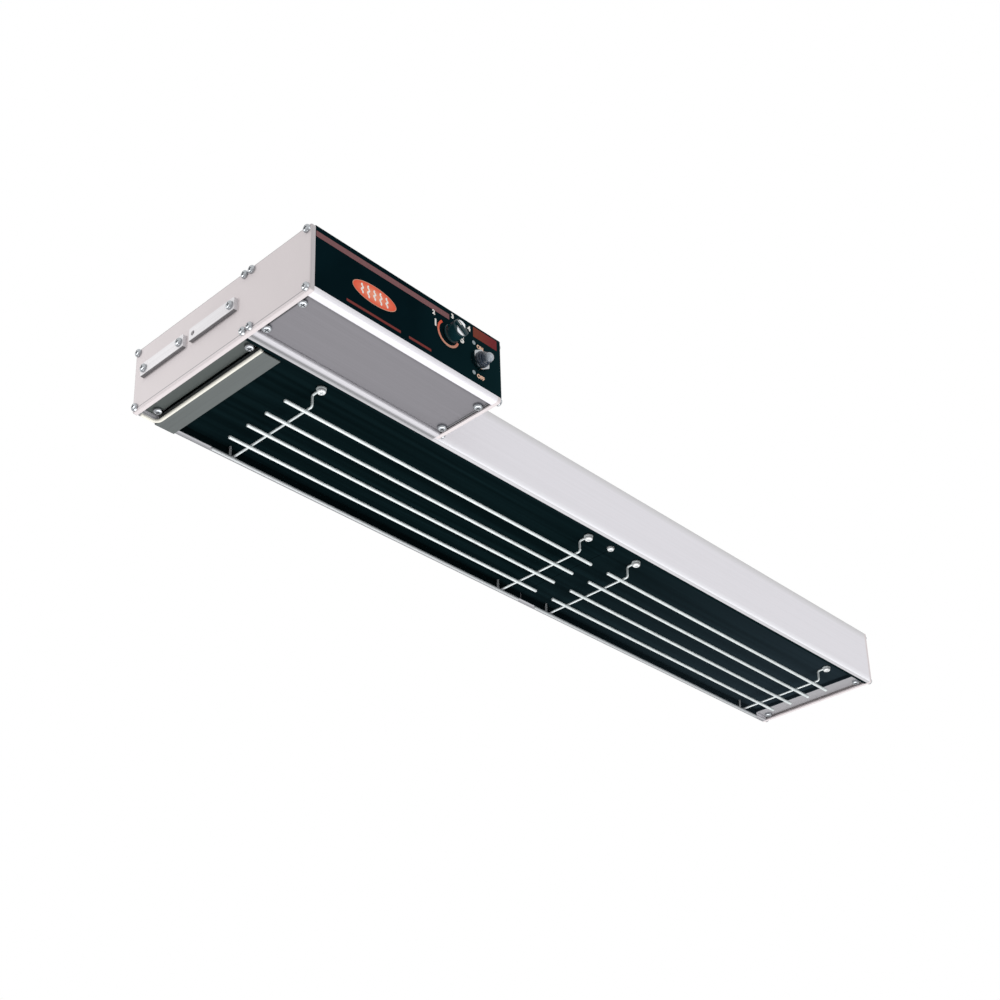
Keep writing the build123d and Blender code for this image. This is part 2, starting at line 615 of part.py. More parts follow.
def heating_element(side):
    """A sheathed hairpin with a cold pin on each leg's outer end."""
    outer, inner = emitter_span(side)
    start = outer - side * ELEMENT_END_GAP
    bend = inner + side * (ELEMENT_BEND_GAP + ELEMENT_RADIUS + ELEMENT_LEG_OFFSET)
    legs = []
    for y in (-ELEMENT_LEG_OFFSET, ELEMENT_LEG_OFFSET):
        legs.append(rod((start, y, ELEMENT_Z), (bend, y, ELEMENT_Z), ELEMENT_RADIUS))
        legs.append(rod((start + side * PIN_LENGTH, y, ELEMENT_Z), (start, y, ELEMENT_Z), PIN_RADIUS))
    ring = Pos(bend, 0, ELEMENT_Z) * Torus(ELEMENT_LEG_OFFSET, ELEMENT_RADIUS)
    reach = ELEMENT_LEG_OFFSET + 2 * ELEMENT_RADIUS
    far = bend - side * reach
    half = ring & block(min(bend, far), max(bend, far), -reach, reach,
                        ELEMENT_Z - reach, ELEMENT_Z + reach)
    element = half
    for leg in legs:
        element += leg
    return element


def crossing_bar(x, front_screw):
    """A bar across the trough over the elements, a foot at each end on the emitter."""
    x0 = x - CLAMP_WIDTH / 2
    x1 = x + CLAMP_WIDTH / 2
    foot_front = FRONT + LEDGE_REACH + SEAT_GAP
    leg_front = GUARD_EYE_Y + CLAMP_FOOT / 2
    foot_rear = -foot_front
    leg_rear = -leg_front
    bar = block(x0, x1, leg_front - CLAMP_THICKNESS, leg_rear + CLAMP_THICKNESS, CLAMP_UNDER, CLAMP_TOP)
    for leg, foot in ((leg_front, foot_front), (leg_rear, foot_rear)):
        outward = -1 if foot < leg else 1
        edge = leg + outward * CLAMP_THICKNESS
        bar += block(x0, x1, min(leg, edge), max(leg, edge), EMITTER_TOP, CLAMP_TOP)
        bar += block(x0, x1, min(leg, foot), max(leg, foot), EMITTER_TOP, EMITTER_TOP + CLAMP_THICKNESS)
    if front_screw:
        bar -= rod((x, GUARD_EYE_Y, EMITTER_TOP - OVERCUT), (x, GUARD_EYE_Y, CLAMP_UNDER),
                   GUARD_SCREW_RADIUS + THREAD_GAP)
    return bar


def clamp_bars(side):
    return [crossing_bar(x, True) for x in cross_wire_xs(side)]


def center_strap():
    return crossing_bar(GUARD_MIDDLE - CENTER_SCREW_OFFSET, True)


def insulation(side):
    outer, inner = emitter_span(side)
    half_width = HOUSING_WIDTH / 2 - SHIELD_SIDE_INSET - SHIELD_THICKNESS - INSULATION_SIDE_GAP
    outer -= side * INSULATION_END_GAP
    return block(min(outer, inner), max(outer, inner), -half_width, half_width,
                 INSULATION_BOTTOM, INSULATION_TOP)


def heat_shield():
    """An inverted trough over the blankets, standing on the ledges."""
    x0 = EMITTER_LEFT + SHIELD_END_GAP
    x1 = EMITTER_RIGHT - SHIELD_END_GAP
    y0 = FRONT + SHIELD_SIDE_INSET
    y1 = REAR - SHIELD_SIDE_INSET
    shield = block(x0, x1, y0, y1, LEDGE_TOP, SHIELD_TOP)
    return shield - block(x0 - OVERCUT, x1 + OVERCUT, y0 + SHIELD_THICKNESS, y1 - SHIELD_THICKNESS,
                          LEDGE_TOP - OVERCUT, SHIELD_UNDER)


# ---------------------------------------------------------------- wire guards

def wire_guard(side):
    """Long wires welded under two cross wires; each cross wire is bent up to a pin and an eye."""
    left, right = guard_span(side)
    guard = None
    for x in cross_wire_xs(side):
        rise_y = GUARD_FRONT_Y - GUARD_RISE_GAP
        points = [
            (x, GUARD_PIN_Y, EMITTER_TOP),
            (x, GUARD_PIN_Y, GUARD_CROSS_Z),
            (x, rise_y, GUARD_CROSS_Z),
            (x, rise_y, GUARD_EYE_Z),
            (x, GUARD_EYE_Y + GUARD_EYE_RADIUS - GUARD_CROSS_RADIUS, GUARD_EYE_Z),
        ]
        cross = wire(points, WIRE_BEND, GUARD_CROSS_RADIUS)
        eye = rod((x, GUARD_EYE_Y, GUARD_EYE_Z - GUARD_CROSS_RADIUS),
                  (x, GUARD_EYE_Y, GUARD_EYE_Z + GUARD_CROSS_RADIUS), GUARD_EYE_RADIUS)
        eye = fillet(eye.edges(), GUARD_CROSS_RADIUS * 0.8)
        cross += eye
        cross -= rod((x, GUARD_EYE_Y, GUARD_EYE_Z - 2 * GUARD_CROSS_RADIUS),
                     (x, GUARD_EYE_Y, GUARD_EYE_Z + 2 * GUARD_CROSS_RADIUS), GUARD_SCREW_RADIUS + HOLE_GAP)
        guard = cross if guard is None else guard + cross
    for index in range(GUARD_WIRE_COUNT):
        y = GUARD_FRONT_Y + index * GUARD_WIRE_SPACING
        long_wire = rod((left, y, GUARD_Z), (right, y, GUARD_Z), GUARD_WIRE_RADIUS)
        guard += fillet(long_wire.edges().filter_by(GeomType.CIRCLE), GUARD_WIRE_RADIUS * 0.6)
    return guard


def guard_screws():
    seat = GUARD_EYE_Z - GUARD_CROSS_RADIUS
    length = EMITTER_TOP + CLAMP_THICKNESS + OVERCUT - seat
    return [screw((x, GUARD_EYE_Y, seat), (0, 0, 1), length, GUARD_SCREW_RADIUS,
                  GUARD_SCREW_HEAD_RADIUS, GUARD_SCREW_HEAD_HEIGHT)
            for side in (-1, 1) for x in cross_wire_xs(side)]


def center_screw():
    length = EMITTER_THICKNESS + CLAMP_THICKNESS + OVERCUT
    return screw((GUARD_MIDDLE - CENTER_SCREW_OFFSET, GUARD_EYE_Y, EMITTER_SEAT), (0, 0, 1), length,
                 GUARD_SCREW_RADIUS, CENTER_SCREW_HEAD_RADIUS, GUARD_SCREW_HEAD_HEIGHT)


# ---------------------------------------------------------------- panel, knob and switches

def panel_holes(y0, y1):
    return [rod((DIAL[0], y0, DIAL[1]), (DIAL[0], y1, DIAL[1]), BUSHING_RADIUS + HOLE_GAP),
            rod((TOGGLE[0], y0, TOGGLE[1]), (TOGGLE[0], y1, TOGGLE[1]), TOGGLE_BUSHING_RADIUS + HOLE_GAP)]


def control_panel():
    plate = block(BODY_LEFT, BOX_RIGHT, BOX_FRONT, BOX_WALL_FACE, BOTTOM + PANEL_RISE, 0)
    return plate - panel_holes(BOX_FRONT - OVERCUT, BOX_WALL_FACE + OVERCUT)


def heat_control():
    """The heat control's case and its threaded bushing, bored for the shaft."""
    x, z = DIAL
    case = block(x - CONTROL_WIDTH / 2, x + CONTROL_WIDTH / 2, BOX_INNER_FRONT,
                 BOX_INNER_FRONT + CONTROL_DEPTH, z - CONTROL_HEIGHT / 2, z + CONTROL_HEIGHT / 2)
    case = fillet(case.edges().filter_by(Axis.Y), WALL)
    case += rod((x, BUSHING_END, z), (x, BOX_INNER_FRONT + WALL, z), BUSHING_RADIUS)
    return case - rod((x, BUSHING_END - OVERCUT, z), (x, BOX_INNER_FRONT + SHAFT_DEPTH, z),
                      SHAFT_RADIUS + RUNNING_GAP)


def control_nut():
    x, z = DIAL
    nut = hexagon_prism((x, BOX_FRONT, z), (x, BOX_FRONT - CONTROL_NUT_THICKNESS, z), CONTROL_NUT_FLATS)
    return nut - rod((x, BOX_FRONT + OVERCUT, z), (x, BOX_FRONT - CONTROL_NUT_THICKNESS - OVERCUT, z),
                     BUSHING_RADIUS + THREAD_GAP)


def control_knob():
    """A tapered knob with a grip across its face, hollow behind for the nut, with a bore for the shaft."""
    x, z = DIAL
    back = BOX_FRONT - KNOB_GAP
    face = back - KNOB_HEIGHT
    side = Pos(x, (back + face) / 2, z) * Rot(90, 0, 0) * Cone(KNOB_RADIUS, KNOB_TOP_RADIUS, KNOB_HEIGHT)
    rim = side.faces().sort_by(Axis.Y)[0]
    knob = fillet(rim.edges(), KNOB_GAP)
    recess = CONTROL_NUT_FLATS / math.sqrt(3) + SEAT_GAP
    recess_end = BUSHING_END - SEAT_GAP
    knob -= rod((x, back + OVERCUT, z), (x, recess_end, z), recess)
    knob -= rod((x, recess_end + OVERCUT, z), (x, recess_end - KNOB_HEIGHT / 2, z), SHAFT_RADIUS)
    turned = Pos(x, face, z) * Rot(0, KNOB_TILT, 0)
    for way in (1, -1):
        offset = way * (KNOB_GRIP_WIDTH / 2 + KNOB_RADIUS)
        knob -= turned * Pos(0, 0, offset) * Box(4 * KNOB_RADIUS, 2 * KNOB_GRIP_HEIGHT, 2 * KNOB_RADIUS)
    groove = turned * Pos(-KNOB_RADIUS * 2 / 3, 0, 0) * Box(KNOB_RADIUS, KNOB_GAP, KNOB_GAP)
    return knob - groove


def control_shaft():
    x, z = DIAL
    tip = BUSHING_END - SEAT_GAP - KNOB_HEIGHT / 2
    return rod((x, tip, z), (x, BOX_INNER_FRONT + SHAFT_DEPTH - SEAT_GAP, z), SHAFT_RADIUS)


def toggle_switch():
    """The switch's case and its threaded bushing, open for the lever."""
    x, z = TOGGLE
    case = block(x - TOGGLE_BODY_WIDTH / 2, x + TOGGLE_BODY_WIDTH / 2, BOX_INNER_FRONT,
                 BOX_INNER_FRONT + TOGGLE_BODY_DEPTH, z - TOGGLE_BODY_HEIGHT / 2, z + TOGGLE_BODY_HEIGHT / 2)
    case += rod((x, TOGGLE_BUSHING_END, z), (x, BOX_INNER_FRONT + WALL, z), TOGGLE_BUSHING_RADIUS)
    mouth = BALL_RADIUS + 2 * RUNNING_GAP
    return case - rod((x, TOGGLE_BUSHING_END - OVERCUT, z),
                      (x, TOGGLE_PIVOT_Y + BALL_RADIUS + SEAT_GAP, z), mouth)


def boot_nut():
    x, z = TOGGLE
    end = BOX_FRONT - BOOT_NUT_THICKNESS
    nut = hexagon_prism((x, BOX_FRONT, z), (x, end, z), BOOT_NUT_FLATS)
    nut = nut & rod((x, BOX_FRONT, z), (x, end, z), BOOT_NUT_FLATS / math.sqrt(3) * 0.96)
    return nut - rod((x, BOX_FRONT + OVERCUT, z), (x, end - OVERCUT, z), TOGGLE_BUSHING_RADIUS + THREAD_GAP)


def tilted(shape):
    """A piece of the lever, turned about the pivot from straight out to the off position."""
    pivot = Pos(TOGGLE[0], TOGGLE_PIVOT_Y, TOGGLE[1])
    return pivot * Rot(OFF_ANGLE, 0, 0) * shape


def toggle_lever():
    """A ball with a stem whose end is rounded, pointing straight out before it is tilted."""
    reach = TOGGLE_PIVOT_Y - BOOT_BASE_Y + BOOT_HEIGHT
    lever = Sphere(BALL_RADIUS) + rod((0, 0, 0), (0, -reach, 0), LEVER_RADIUS)
    lever += Pos(0, -reach, 0) * Sphere(BOOT_TIP_RADIUS - BOOT_WALL)
    return tilted(lever)


def boot_form(radius_change, base_shift):
    """The boot's cone and round tip, its radii changed by the same amount."""
    base = TOGGLE_PIVOT_Y - BOOT_BASE_Y
    cone = Pos(0, -base - BOOT_HEIGHT / 2, 0) * Rot(90, 0, 0) * Cone(
        BOOT_BASE_RADIUS + radius_change, BOOT_TIP_RADIUS + radius_change, BOOT_HEIGHT
    )
    form = cone + Pos(0, -base - BOOT_HEIGHT, 0) * Sphere(BOOT_TIP_RADIUS + radius_change)
    if base_shift:
        form += rod((0, -base - OVERCUT, 0), (0, base_shift - base, 0), BOOT_BASE_RADIUS + radius_change)
    return form


def switch_boot():
    return tilted(boot_form(0, 0) - boot_form(-BOOT_WALL, OVERCUT))


# ---------------------------------------------------------------- wiring

def inlet_center():
    return ((BOX_FRONT + FRONT) / 2, -INLET_DROP)


def inlet_bushing():
    y, z = inlet_center()
    inner_end = BOX_RIGHT - INLET_LENGTH + INLET_FLANGE
    bushing = rod((inner_end, y, z), (BOX_RIGHT, y, z), INLET_HOLE_RADIUS)
    bushing += rod((BOX_RIGHT, y, z), (BOX_RIGHT + INLET_FLANGE, y, z), INLET_FLANGE_RADIUS)
    return bushing - rod((inner_end - OVERCUT, y, z), (BOX_RIGHT + INLET_FLANGE + OVERCUT, y, z),
                         INLET_BORE_RADIUS)


def lead_passage(y0, y1):
    return [rod((LEFT + GROMMET_X, y0, -GROMMET_DROP), (LEFT + GROMMET_X, y1, -GROMMET_DROP),
                GROMMET_HOLE_RADIUS)]


def lead_grommet():
    x, z = LEFT + GROMMET_X, -GROMMET_DROP
    y0 = BOX_INNER_REAR
    y1 = FRONT + WALL
    grommet = rod((x, y0, z), (x, y1, z), GROMMET_HOLE_RADIUS)
    grommet += rod((x, y0 - GROMMET_FLANGE, z), (x, y0, z), GROMMET_FLANGE_RADIUS)
    grommet += rod((x, y1, z), (x, y1 + GROMMET_FLANGE, z), GROMMET_FLANGE_RADIUS)
    return grommet - rod((x, y0 - 2 * GROMMET_FLANGE, z), (x, y1 + 2 * GROMMET_FLANGE, z),
                         GROMMET_BORE_RADIUS)


def joining_points():
    left = LEFT + JOINING_SCREW_LEFT_INSET
    right = BOX_RIGHT - JOINING_SCREW_RIGHT_INSET
    return [(x, -JOINING_SCREW_DROP) for x in (left, (left + right) / 2, right)]


def ground_point():
    return (BOX_RIGHT - GROUND_SCREW_X, -GROUND_SCREW_DROP)


def joining_holes(y0, y1):
    return [rod((x, y0, z), (x, y1, z), JOINING_SCREW_RADIUS + THREAD_GAP)
            for x, z in joining_points() + [ground_point()]]


def joining_screws():
    seat = BOX_INNER_REAR
    return [screw((x, seat, z), (0, 1, 0), FRONT + WALL + OVERCUT - seat, JOINING_SCREW_RADIUS,
                  JOINING_SCREW_HEAD_RADIUS, JOINING_SCREW_HEAD_HEIGHT) for x, z in joining_points()]


def terminal_block():
    x0 = LEFT + BLOCK_X
    z0 = BLOCK_MIDDLE_Z - BLOCK_HEIGHT / 2
    base = block(x0, x0 + BLOCK_LENGTH, BOX_INNER_REAR - BLOCK_DEPTH, BOX_INNER_REAR,
                 z0, z0 + BLOCK_HEIGHT)
    wells = [rod((x, BOX_INNER_REAR - BLOCK_DEPTH - OVERCUT, z), (x, BOX_INNER_REAR - BLOCK_DEPTH / 2, z),
                 BLOCK_SCREW_RADIUS + THREAD_GAP) for x, z in block_screw_points()]
    return base - wells


def block_screw_points():
    pitch = BLOCK_LENGTH / BLOCK_WAYS
    xs = [LEFT + BLOCK_X + pitch * (way + 0.5) for way in range(BLOCK_WAYS)]
    return [(x, BLOCK_MIDDLE_Z + side * BLOCK_HEIGHT / 4) for x in xs for side in (-1, 1)]


def terminal_screws():
    outer = BOX_INNER_REAR - BLOCK_DEPTH
    return [rod((x, outer + OVERCUT, z), (x, BOX_INNER_REAR - BLOCK_DEPTH / 2, z), BLOCK_SCREW_RADIUS)
            for x, z in block_screw_points()]


def ground_screw():
    """A hexagon head screw in the rear wall of the control box."""
    x, z = ground_point()
    head_end = BOX_INNER_REAR - GROUND_SCREW_HEAD
    head = hexagon_prism((x, BOX_INNER_REAR, z), (x, head_end, z), GROUND_SCREW_FLATS)
    return head + rod((x, BOX_INNER_REAR, z), (x, FRONT + WALL + OVERCUT, z), JOINING_SCREW_RADIUS)


def lead_slots():
    """Where the four leads lie in the grommet's bore: (X, Z) for the left and the right element."""
    x, z = LEFT + GROMMET_X, -GROMMET_DROP
    left = [(x - LEAD_BORE_OFFSET, z - LEAD_BORE_OFFSET), (x + LEAD_BORE_OFFSET, z - LEAD_BORE_OFFSET)]
    right = [(x - LEAD_BORE_OFFSET, z + LEAD_BORE_OFFSET), (x + LEAD_BORE_OFFSET, z + LEAD_BORE_OFFSET)]
    return left, right


def box_lead_points(slot_x, slot_z, row):
    """The stretch of a lead from the terminal block to the grommet, on row 0 or 1."""
    return [(LEFT + BLOCK_X, LEAD_ROWS_Y[row], slot_z), (slot_x, LEAD_ROWS_Y[row], slot_z)]


def left_element_leads():
    left_slots, _ = lead_slots()
    pin_x = EMITTER_LEFT + ELEMENT_END_GAP - PIN_LENGTH
    leads = []
    for row, (slot_x, slot_z), pin_y in ((1, left_slots[0], ELEMENT_LEG_OFFSET),
                                         (0, left_slots[1], -ELEMENT_LEG_OFFSET)):
        points = box_lead_points(slot_x, slot_z, row)
        points += [(slot_x, pin_y, slot_z), (slot_x, pin_y, ELEMENT_Z), (pin_x, pin_y, ELEMENT_Z)]
        leads.append(wire(points, LEAD_BEND, LEAD_RADIUS))
    return leads


def right_element_leads():
    _, right_slots = lead_slots()
    pin_x = EMITTER_RIGHT - ELEMENT_END_GAP + PIN_LENGTH
    leads = []
    for row, (slot_x, slot_z), pin_y in ((1, right_slots[0], ELEMENT_LEG_OFFSET),
                                         (0, right_slots[1], -ELEMENT_LEG_OFFSET)):
        far_x = EMITTER_RIGHT + RIGHT_COVER_WIDTH / 2
        points = box_lead_points(slot_x, slot_z, row)
        points += [(slot_x, pin_y, slot_z), (far_x, pin_y, slot_z), (far_x, pin_y, ELEMENT_Z),
                   (pin_x, pin_y, ELEMENT_Z)]
        leads.append(wire(points, LEAD_BEND, LEAD_RADIUS))
    return leads


def control_leads():
    """Two leads to the heat control and two to the switch, from the block's right face."""
    start = LEFT + BLOCK_X + BLOCK_LENGTH
    control_back = BOX_INNER_FRONT + CONTROL_DEPTH
    toggle_back = BOX_INNER_FRONT + TOGGLE_BODY_DEPTH
    leads = []
    for row, side in ((1, -1), (0, 1)):
        y = LEAD_ROWS_Y[row]
        for (x, z), back in ((DIAL, control_back), (TOGGLE, toggle_back)):
            end_x = x + side * LEAD_SPACING / 2
            lead_z = z + LEAD_SPACING
            points = [(start, y, lead_z), (end_x, y, lead_z), (end_x, back, lead_z)]
            leads.append(wire(points, LEAD_BEND, LEAD_RADIUS))
    return leads


# ---------------------------------------------------------------- hanging nuts

def hanger_points():
    xs = (LEFT + HANGER_END_INSET, RIGHT - HANGER_END_INSET)
    ys = (FRONT + HANGER_SIDE_INSET, REAR - HANGER_SIDE_INSET)
    return [(x, y) for x in xs for y in ys]


def hanger_nuts():
    """Clinch nuts whose shanks fill the web's holes, flush with the top face."""
    nuts = []
    for x, y in hanger_points():
        nut = rod((x, y, -WALL), (x, y, 0), HANGER_SHANK_RADIUS)
        nut += rod((x, y, -HANGER_LENGTH), (x, y, -WALL), HANGER_BODY_RADIUS)
        nuts.append(nut - rod((x, y, -HANGER_LENGTH - OVERCUT), (x, y, OVERCUT), HANGER_BORE_RADIUS))
    return nuts


# ---------------------------------------------------------------- write the nodes

def main():
    os.makedirs("parts", exist_ok=True)
    save("main_housing", main_housing())
    save("control_box_housing", control_box_housing())
    save("left_end_plate", left_end_plate())
    save("right_end_plate", right_end_plate())
    save("control_box_end_plate", control_box_end_plate())
    save("end_plate_screws", *end_plate_screws())
    save("left_mounting_bars", *left_mounting_bars())
    save("mounting_bar_screws", *mounting_bar_screws())
    save("left_terminal_cover", left_terminal_cover())
    save("right_terminal_cover", right_terminal_cover())
    save("terminal_cover_screws", *terminal_cover_screws())
    save("left_end_strap", left_end_strap())
    save("control_box_cover", control_box_cover())
    save("control_cover_screws", *control_cover_screws())
    for name, side in (("left", -1), ("right", 1)):
        save(name + "_emitter", emitter(side))
        save(name + "_heating_element", heating_element(side))
        save(name + "_clamp_bars", *clamp_bars(side))
        save(name + "_insulation", insulation(side))
        save(name + "_wire_guard", wire_guard(side))
    save("center_strap", center_strap())
    save("heat_shield", heat_shield())
    save("guard_screws", *guard_screws())
    save("center_screw", center_screw())
    save("control_panel", control_panel())
    save("heat_control", heat_control())
    save("control_nut", control_nut())
    save("control_knob", control_knob())
    save("control_shaft", control_shaft())
    save("toggle_switch", toggle_switch())
    save("boot_nut", boot_nut())
    save("toggle_lever", toggle_lever())
    save("switch_boot", switch_boot())
    save("inlet_bushing", inlet_bushing())
    save("lead_grommet", lead_grommet())
    save("joining_screws", *joining_screws())
    save("terminal_block", terminal_block())
    save("terminal_screws", *terminal_screws())
    save("ground_screw", ground_screw())
    save("left_element_leads", *left_element_leads())
    save("right_element_leads", *right_element_leads())
    save("control_leads", *control_leads())
    save("hanger_nuts", *hanger_nuts())


if __name__ == "__main__":
    main()
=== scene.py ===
import json
import math

import bmesh
import bpy
from bpy.props import FloatProperty, FloatVectorProperty, IntProperty, PointerProperty
from mathutils import Matrix, Vector


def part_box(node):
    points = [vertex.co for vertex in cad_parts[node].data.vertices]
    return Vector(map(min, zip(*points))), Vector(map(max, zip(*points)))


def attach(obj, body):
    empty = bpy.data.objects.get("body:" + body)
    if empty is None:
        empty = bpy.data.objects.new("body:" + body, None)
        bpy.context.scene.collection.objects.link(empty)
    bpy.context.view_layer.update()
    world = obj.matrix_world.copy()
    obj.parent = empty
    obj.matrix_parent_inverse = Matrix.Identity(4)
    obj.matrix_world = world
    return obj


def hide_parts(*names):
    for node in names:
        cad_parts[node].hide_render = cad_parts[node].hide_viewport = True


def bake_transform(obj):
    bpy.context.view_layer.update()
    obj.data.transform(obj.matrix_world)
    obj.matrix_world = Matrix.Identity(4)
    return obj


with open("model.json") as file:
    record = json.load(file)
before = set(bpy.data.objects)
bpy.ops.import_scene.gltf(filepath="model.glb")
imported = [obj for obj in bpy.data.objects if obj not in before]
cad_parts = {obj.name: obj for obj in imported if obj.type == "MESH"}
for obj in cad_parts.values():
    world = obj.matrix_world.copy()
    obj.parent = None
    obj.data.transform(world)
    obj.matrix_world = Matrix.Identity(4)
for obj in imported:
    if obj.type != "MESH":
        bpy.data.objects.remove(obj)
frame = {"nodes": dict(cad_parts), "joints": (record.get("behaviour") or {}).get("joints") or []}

bl_info = {
    "name": "Strip Food Warmer",
    "version": (1, 0, 0),
    "blender": (4, 5, 0),
    "location": "3D View > Sidebar > Warmer",
    "description": "Dresses the frame of an overhead strip food warmer and sets its stage",
    "category": "Object",
}

HOUSING = "housing"
KNOB = "knob"
MM = 0.001


def corners(node):
    """A node's lowest and highest corners."""
    low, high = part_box(node)
    return Vector(low), Vector(high)


def middle(node):
    low, high = corners(node)
    return (low + high) / 2


# ---- properties

def colour(name, description, default):
    return FloatVectorProperty(name=name, description=description, default=default, subtype="COLOR",
                               size=3, min=0.0, max=1.0)


def number(name, description, default):
    return FloatProperty(name=name, description=description, default=default)


def length(name, description, millimetres):
    return FloatProperty(name=name, description=description, default=millimetres * MM, unit="LENGTH")


def angle(name, description, degrees):
    return FloatProperty(name=name, description=description, default=math.radians(degrees),
                         subtype="ANGLE")


class WarmerFinishes(bpy.types.PropertyGroup):
    """Colours of the warmer's finishes, and of the light and shade painted on some of them."""
    extrusion: colour("Extrusion", "Satin aluminium of the trough and the box", (0.75, 0.735, 0.775))
    # Painted shade along the upper edge of the trough's front face, and painted light along its lower edge.
    face_upper_shade: colour("Face above", "Trough's front face along its upper edge", (0.58, 0.575, 0.58))
    face_lower_light: colour("Face below", "Trough's front face along its lower edge", (0.88, 0.88, 0.92))
    end_plate: colour("End plates", "Paint of the end plates", (0.66, 0.605, 0.61))
    # Painted shade on the left end plate's front edge, and painted shade lines on its top and rear edges and
    # over its fold.
    plate_front_shade: colour("Plate front", "Front edge of the left end plate", (0.49, 0.46, 0.47))
    plate_line: colour("Plate line", "Shaded edges and fold of the left end plate", (0.33, 0.31, 0.32))
    bars: colour("Bars", "Plate of the bars on the left end", (0.70, 0.685, 0.70))
    bar_shade: colour("Bar shade", "Shaded undersides of those bars", (0.17, 0.165, 0.17))
    box_cover: colour("Box cover", "Brushed cover under the control box", (0.178, 0.172, 0.187))
    cover_shade: colour("Cover shade", "That cover along its shaded front edge", (0.105, 0.102, 0.110))
    # Painted shadow along the box cover's edge beside the end plate.
    cover_edge_shadow: colour("Cover edge shadow", "Dark gap from that cover to the end plate", (0.030, 0.031, 0.034))
    # Painted shade on the box's flange beside the trough, deepest along the joint of trough and box.
    box_flange_shade: colour("Box flange shade", "Box flange beside the trough", (0.56, 0.55, 0.58))
    joint_shade: colour("Joint shade", "Along the joint of trough and box", (0.23, 0.23, 0.24))
    # Painted shade under the trough's front rim, and under its rear rim, lighter at the inner edge and darker
    # at the outer edge.
    front_rim_shade: colour("Front rim shade", "Under the trough's front rim", (0.52, 0.51, 0.53))
    rear_rim_shade_inner: colour("Rear rim shade inner", "Under the rear rim at its inner edge", (0.42, 0.42, 0.44))
    rear_rim_shade_outer: colour("Rear rim shade outer", "Under the rear rim at its outer edge", (0.10, 0.10, 0.11))
    left_cover: colour("Left cover", "Terminal cover at the left end", (0.058, 0.070, 0.066))
    strap: colour("Strap", "End strap beside the left cover", (0.096, 0.109, 0.107))
    # Painted highlight: the cream of the bead along the left strap stands for the light on the strap's
    # turned-up edge.
    bead: colour("Bead", "Cream bead along the left strap", (0.80, 0.78, 0.70))
    # Painted shadow: the grey beads stand for the shade in the joints.
    joint_shadow: colour("Joint shadow", "Grey beads in the joints", (0.22, 0.22, 0.23))
    right_cover: colour("Right cover", "Cover at the right end", (0.36, 0.355, 0.37))
    plated: colour("Plated steel", "Screws and nuts", (0.44, 0.46, 0.48))
    pale_screws: colour("Pale screws", "Zinc of the screws under the emitters", (0.78, 0.80, 0.80))
    wire: colour("Wire", "Plated wire of the guards", (0.68, 0.73, 0.73))
    # Painted shade on the guard wire over the rear rim.
    wire_rear_shade: colour("Rear wire", "The wire over the rear rim", (0.46, 0.48, 0.49))
    emitter: colour("Emitter", "Black face of the emitters", (0.0030, 0.0085, 0.0100))
    # Painted light: the emitters' face lighter towards the right end.
    emitter_far_light: colour("Emitter far end", "The same face at the right end", (0.016, 0.026, 0.033))
    panel: colour("Panel", "Black control panel", (0.002, 0.009, 0.012))
    # Painted light: the panel lighter towards its right end.
    panel_right_light: colour("Panel right", "The panel at its right end", (0.0040, 0.0160, 0.0190))
    badge_middle: colour("Badge middle", "Paler middle of the badge", (0.86, 0.33, 0.20))
    print_red: colour("Red print", "Badge on the panel", (0.72, 0.085, 0.040))
    print_block: colour("Block", "Left end of the red block", (0.165, 0.034, 0.018))
    print_block_end: colour("Block end", "Right end of that block", (0.150, 0.014, 0.018))
    print_rose: colour("Rose print", "Stripe along the panel", (0.190, 0.086, 0.090))
    print_dark: colour("Dark red print", "Lines under the badge", (0.17, 0.030, 0.026))
    print_white: colour("White print", "Figures and light marks", (0.80, 0.78, 0.74))
    print_orange: colour("Orange print", "Pale end of the dial's arc", (0.60, 0.31, 0.22))
    print_peach: colour("Peach print", "Words beside the switch", (0.80, 0.52, 0.38))
    print_grey: colour("Grey print", "Dots on the panel", (0.30, 0.35, 0.37))
    knob: colour("Knob", "Glossy black plastic", (0.005, 0.026, 0.032))
    # Painted highlights: the bright crescents beside the knob's grip.
    knob_highlight: colour("Knob highlight", "Polished inlays of the knob", (0.86, 0.88, 0.90))
    boot: colour("Boot", "Smoky silicone at the nut", (0.022, 0.036, 0.060))
    # The boot lightens towards its tip: a painted highlight there, with the bright lever inside the boot.
    boot_tip: colour("Boot tip", "Smoky silicone at the tip", (0.62, 0.67, 0.72))
    nylon: colour("Nylon", "Grommet and inlet bushing", (0.012, 0.012, 0.013))
    fibre: colour("Fibre", "Blankets behind the emitters", (0.72, 0.70, 0.63))
    sheath: colour("Sheath", "Heating elements", (0.10, 0.095, 0.09))
    galvanised: colour("Galvanised", "Sheet parts inside", (0.40, 0.41, 0.42))
    phenolic: colour("Phenolic", "Cases of the controls", (0.012, 0.010, 0.010))
    phenolic_pale: colour("Pale phenolic", "Terminal block", (0.60, 0.56, 0.48))
    brass: colour("Brass", "Terminal screws", (0.60, 0.42, 0.16))
    ground_green: colour("Green", "Ground screw", (0.02, 0.16, 0.05))
    sleeve: colour("Sleeve", "Braid over the elements' leads", (0.52, 0.48, 0.38))
    lead: colour("Lead", "Leads in the control box", (0.02, 0.018, 0.018))


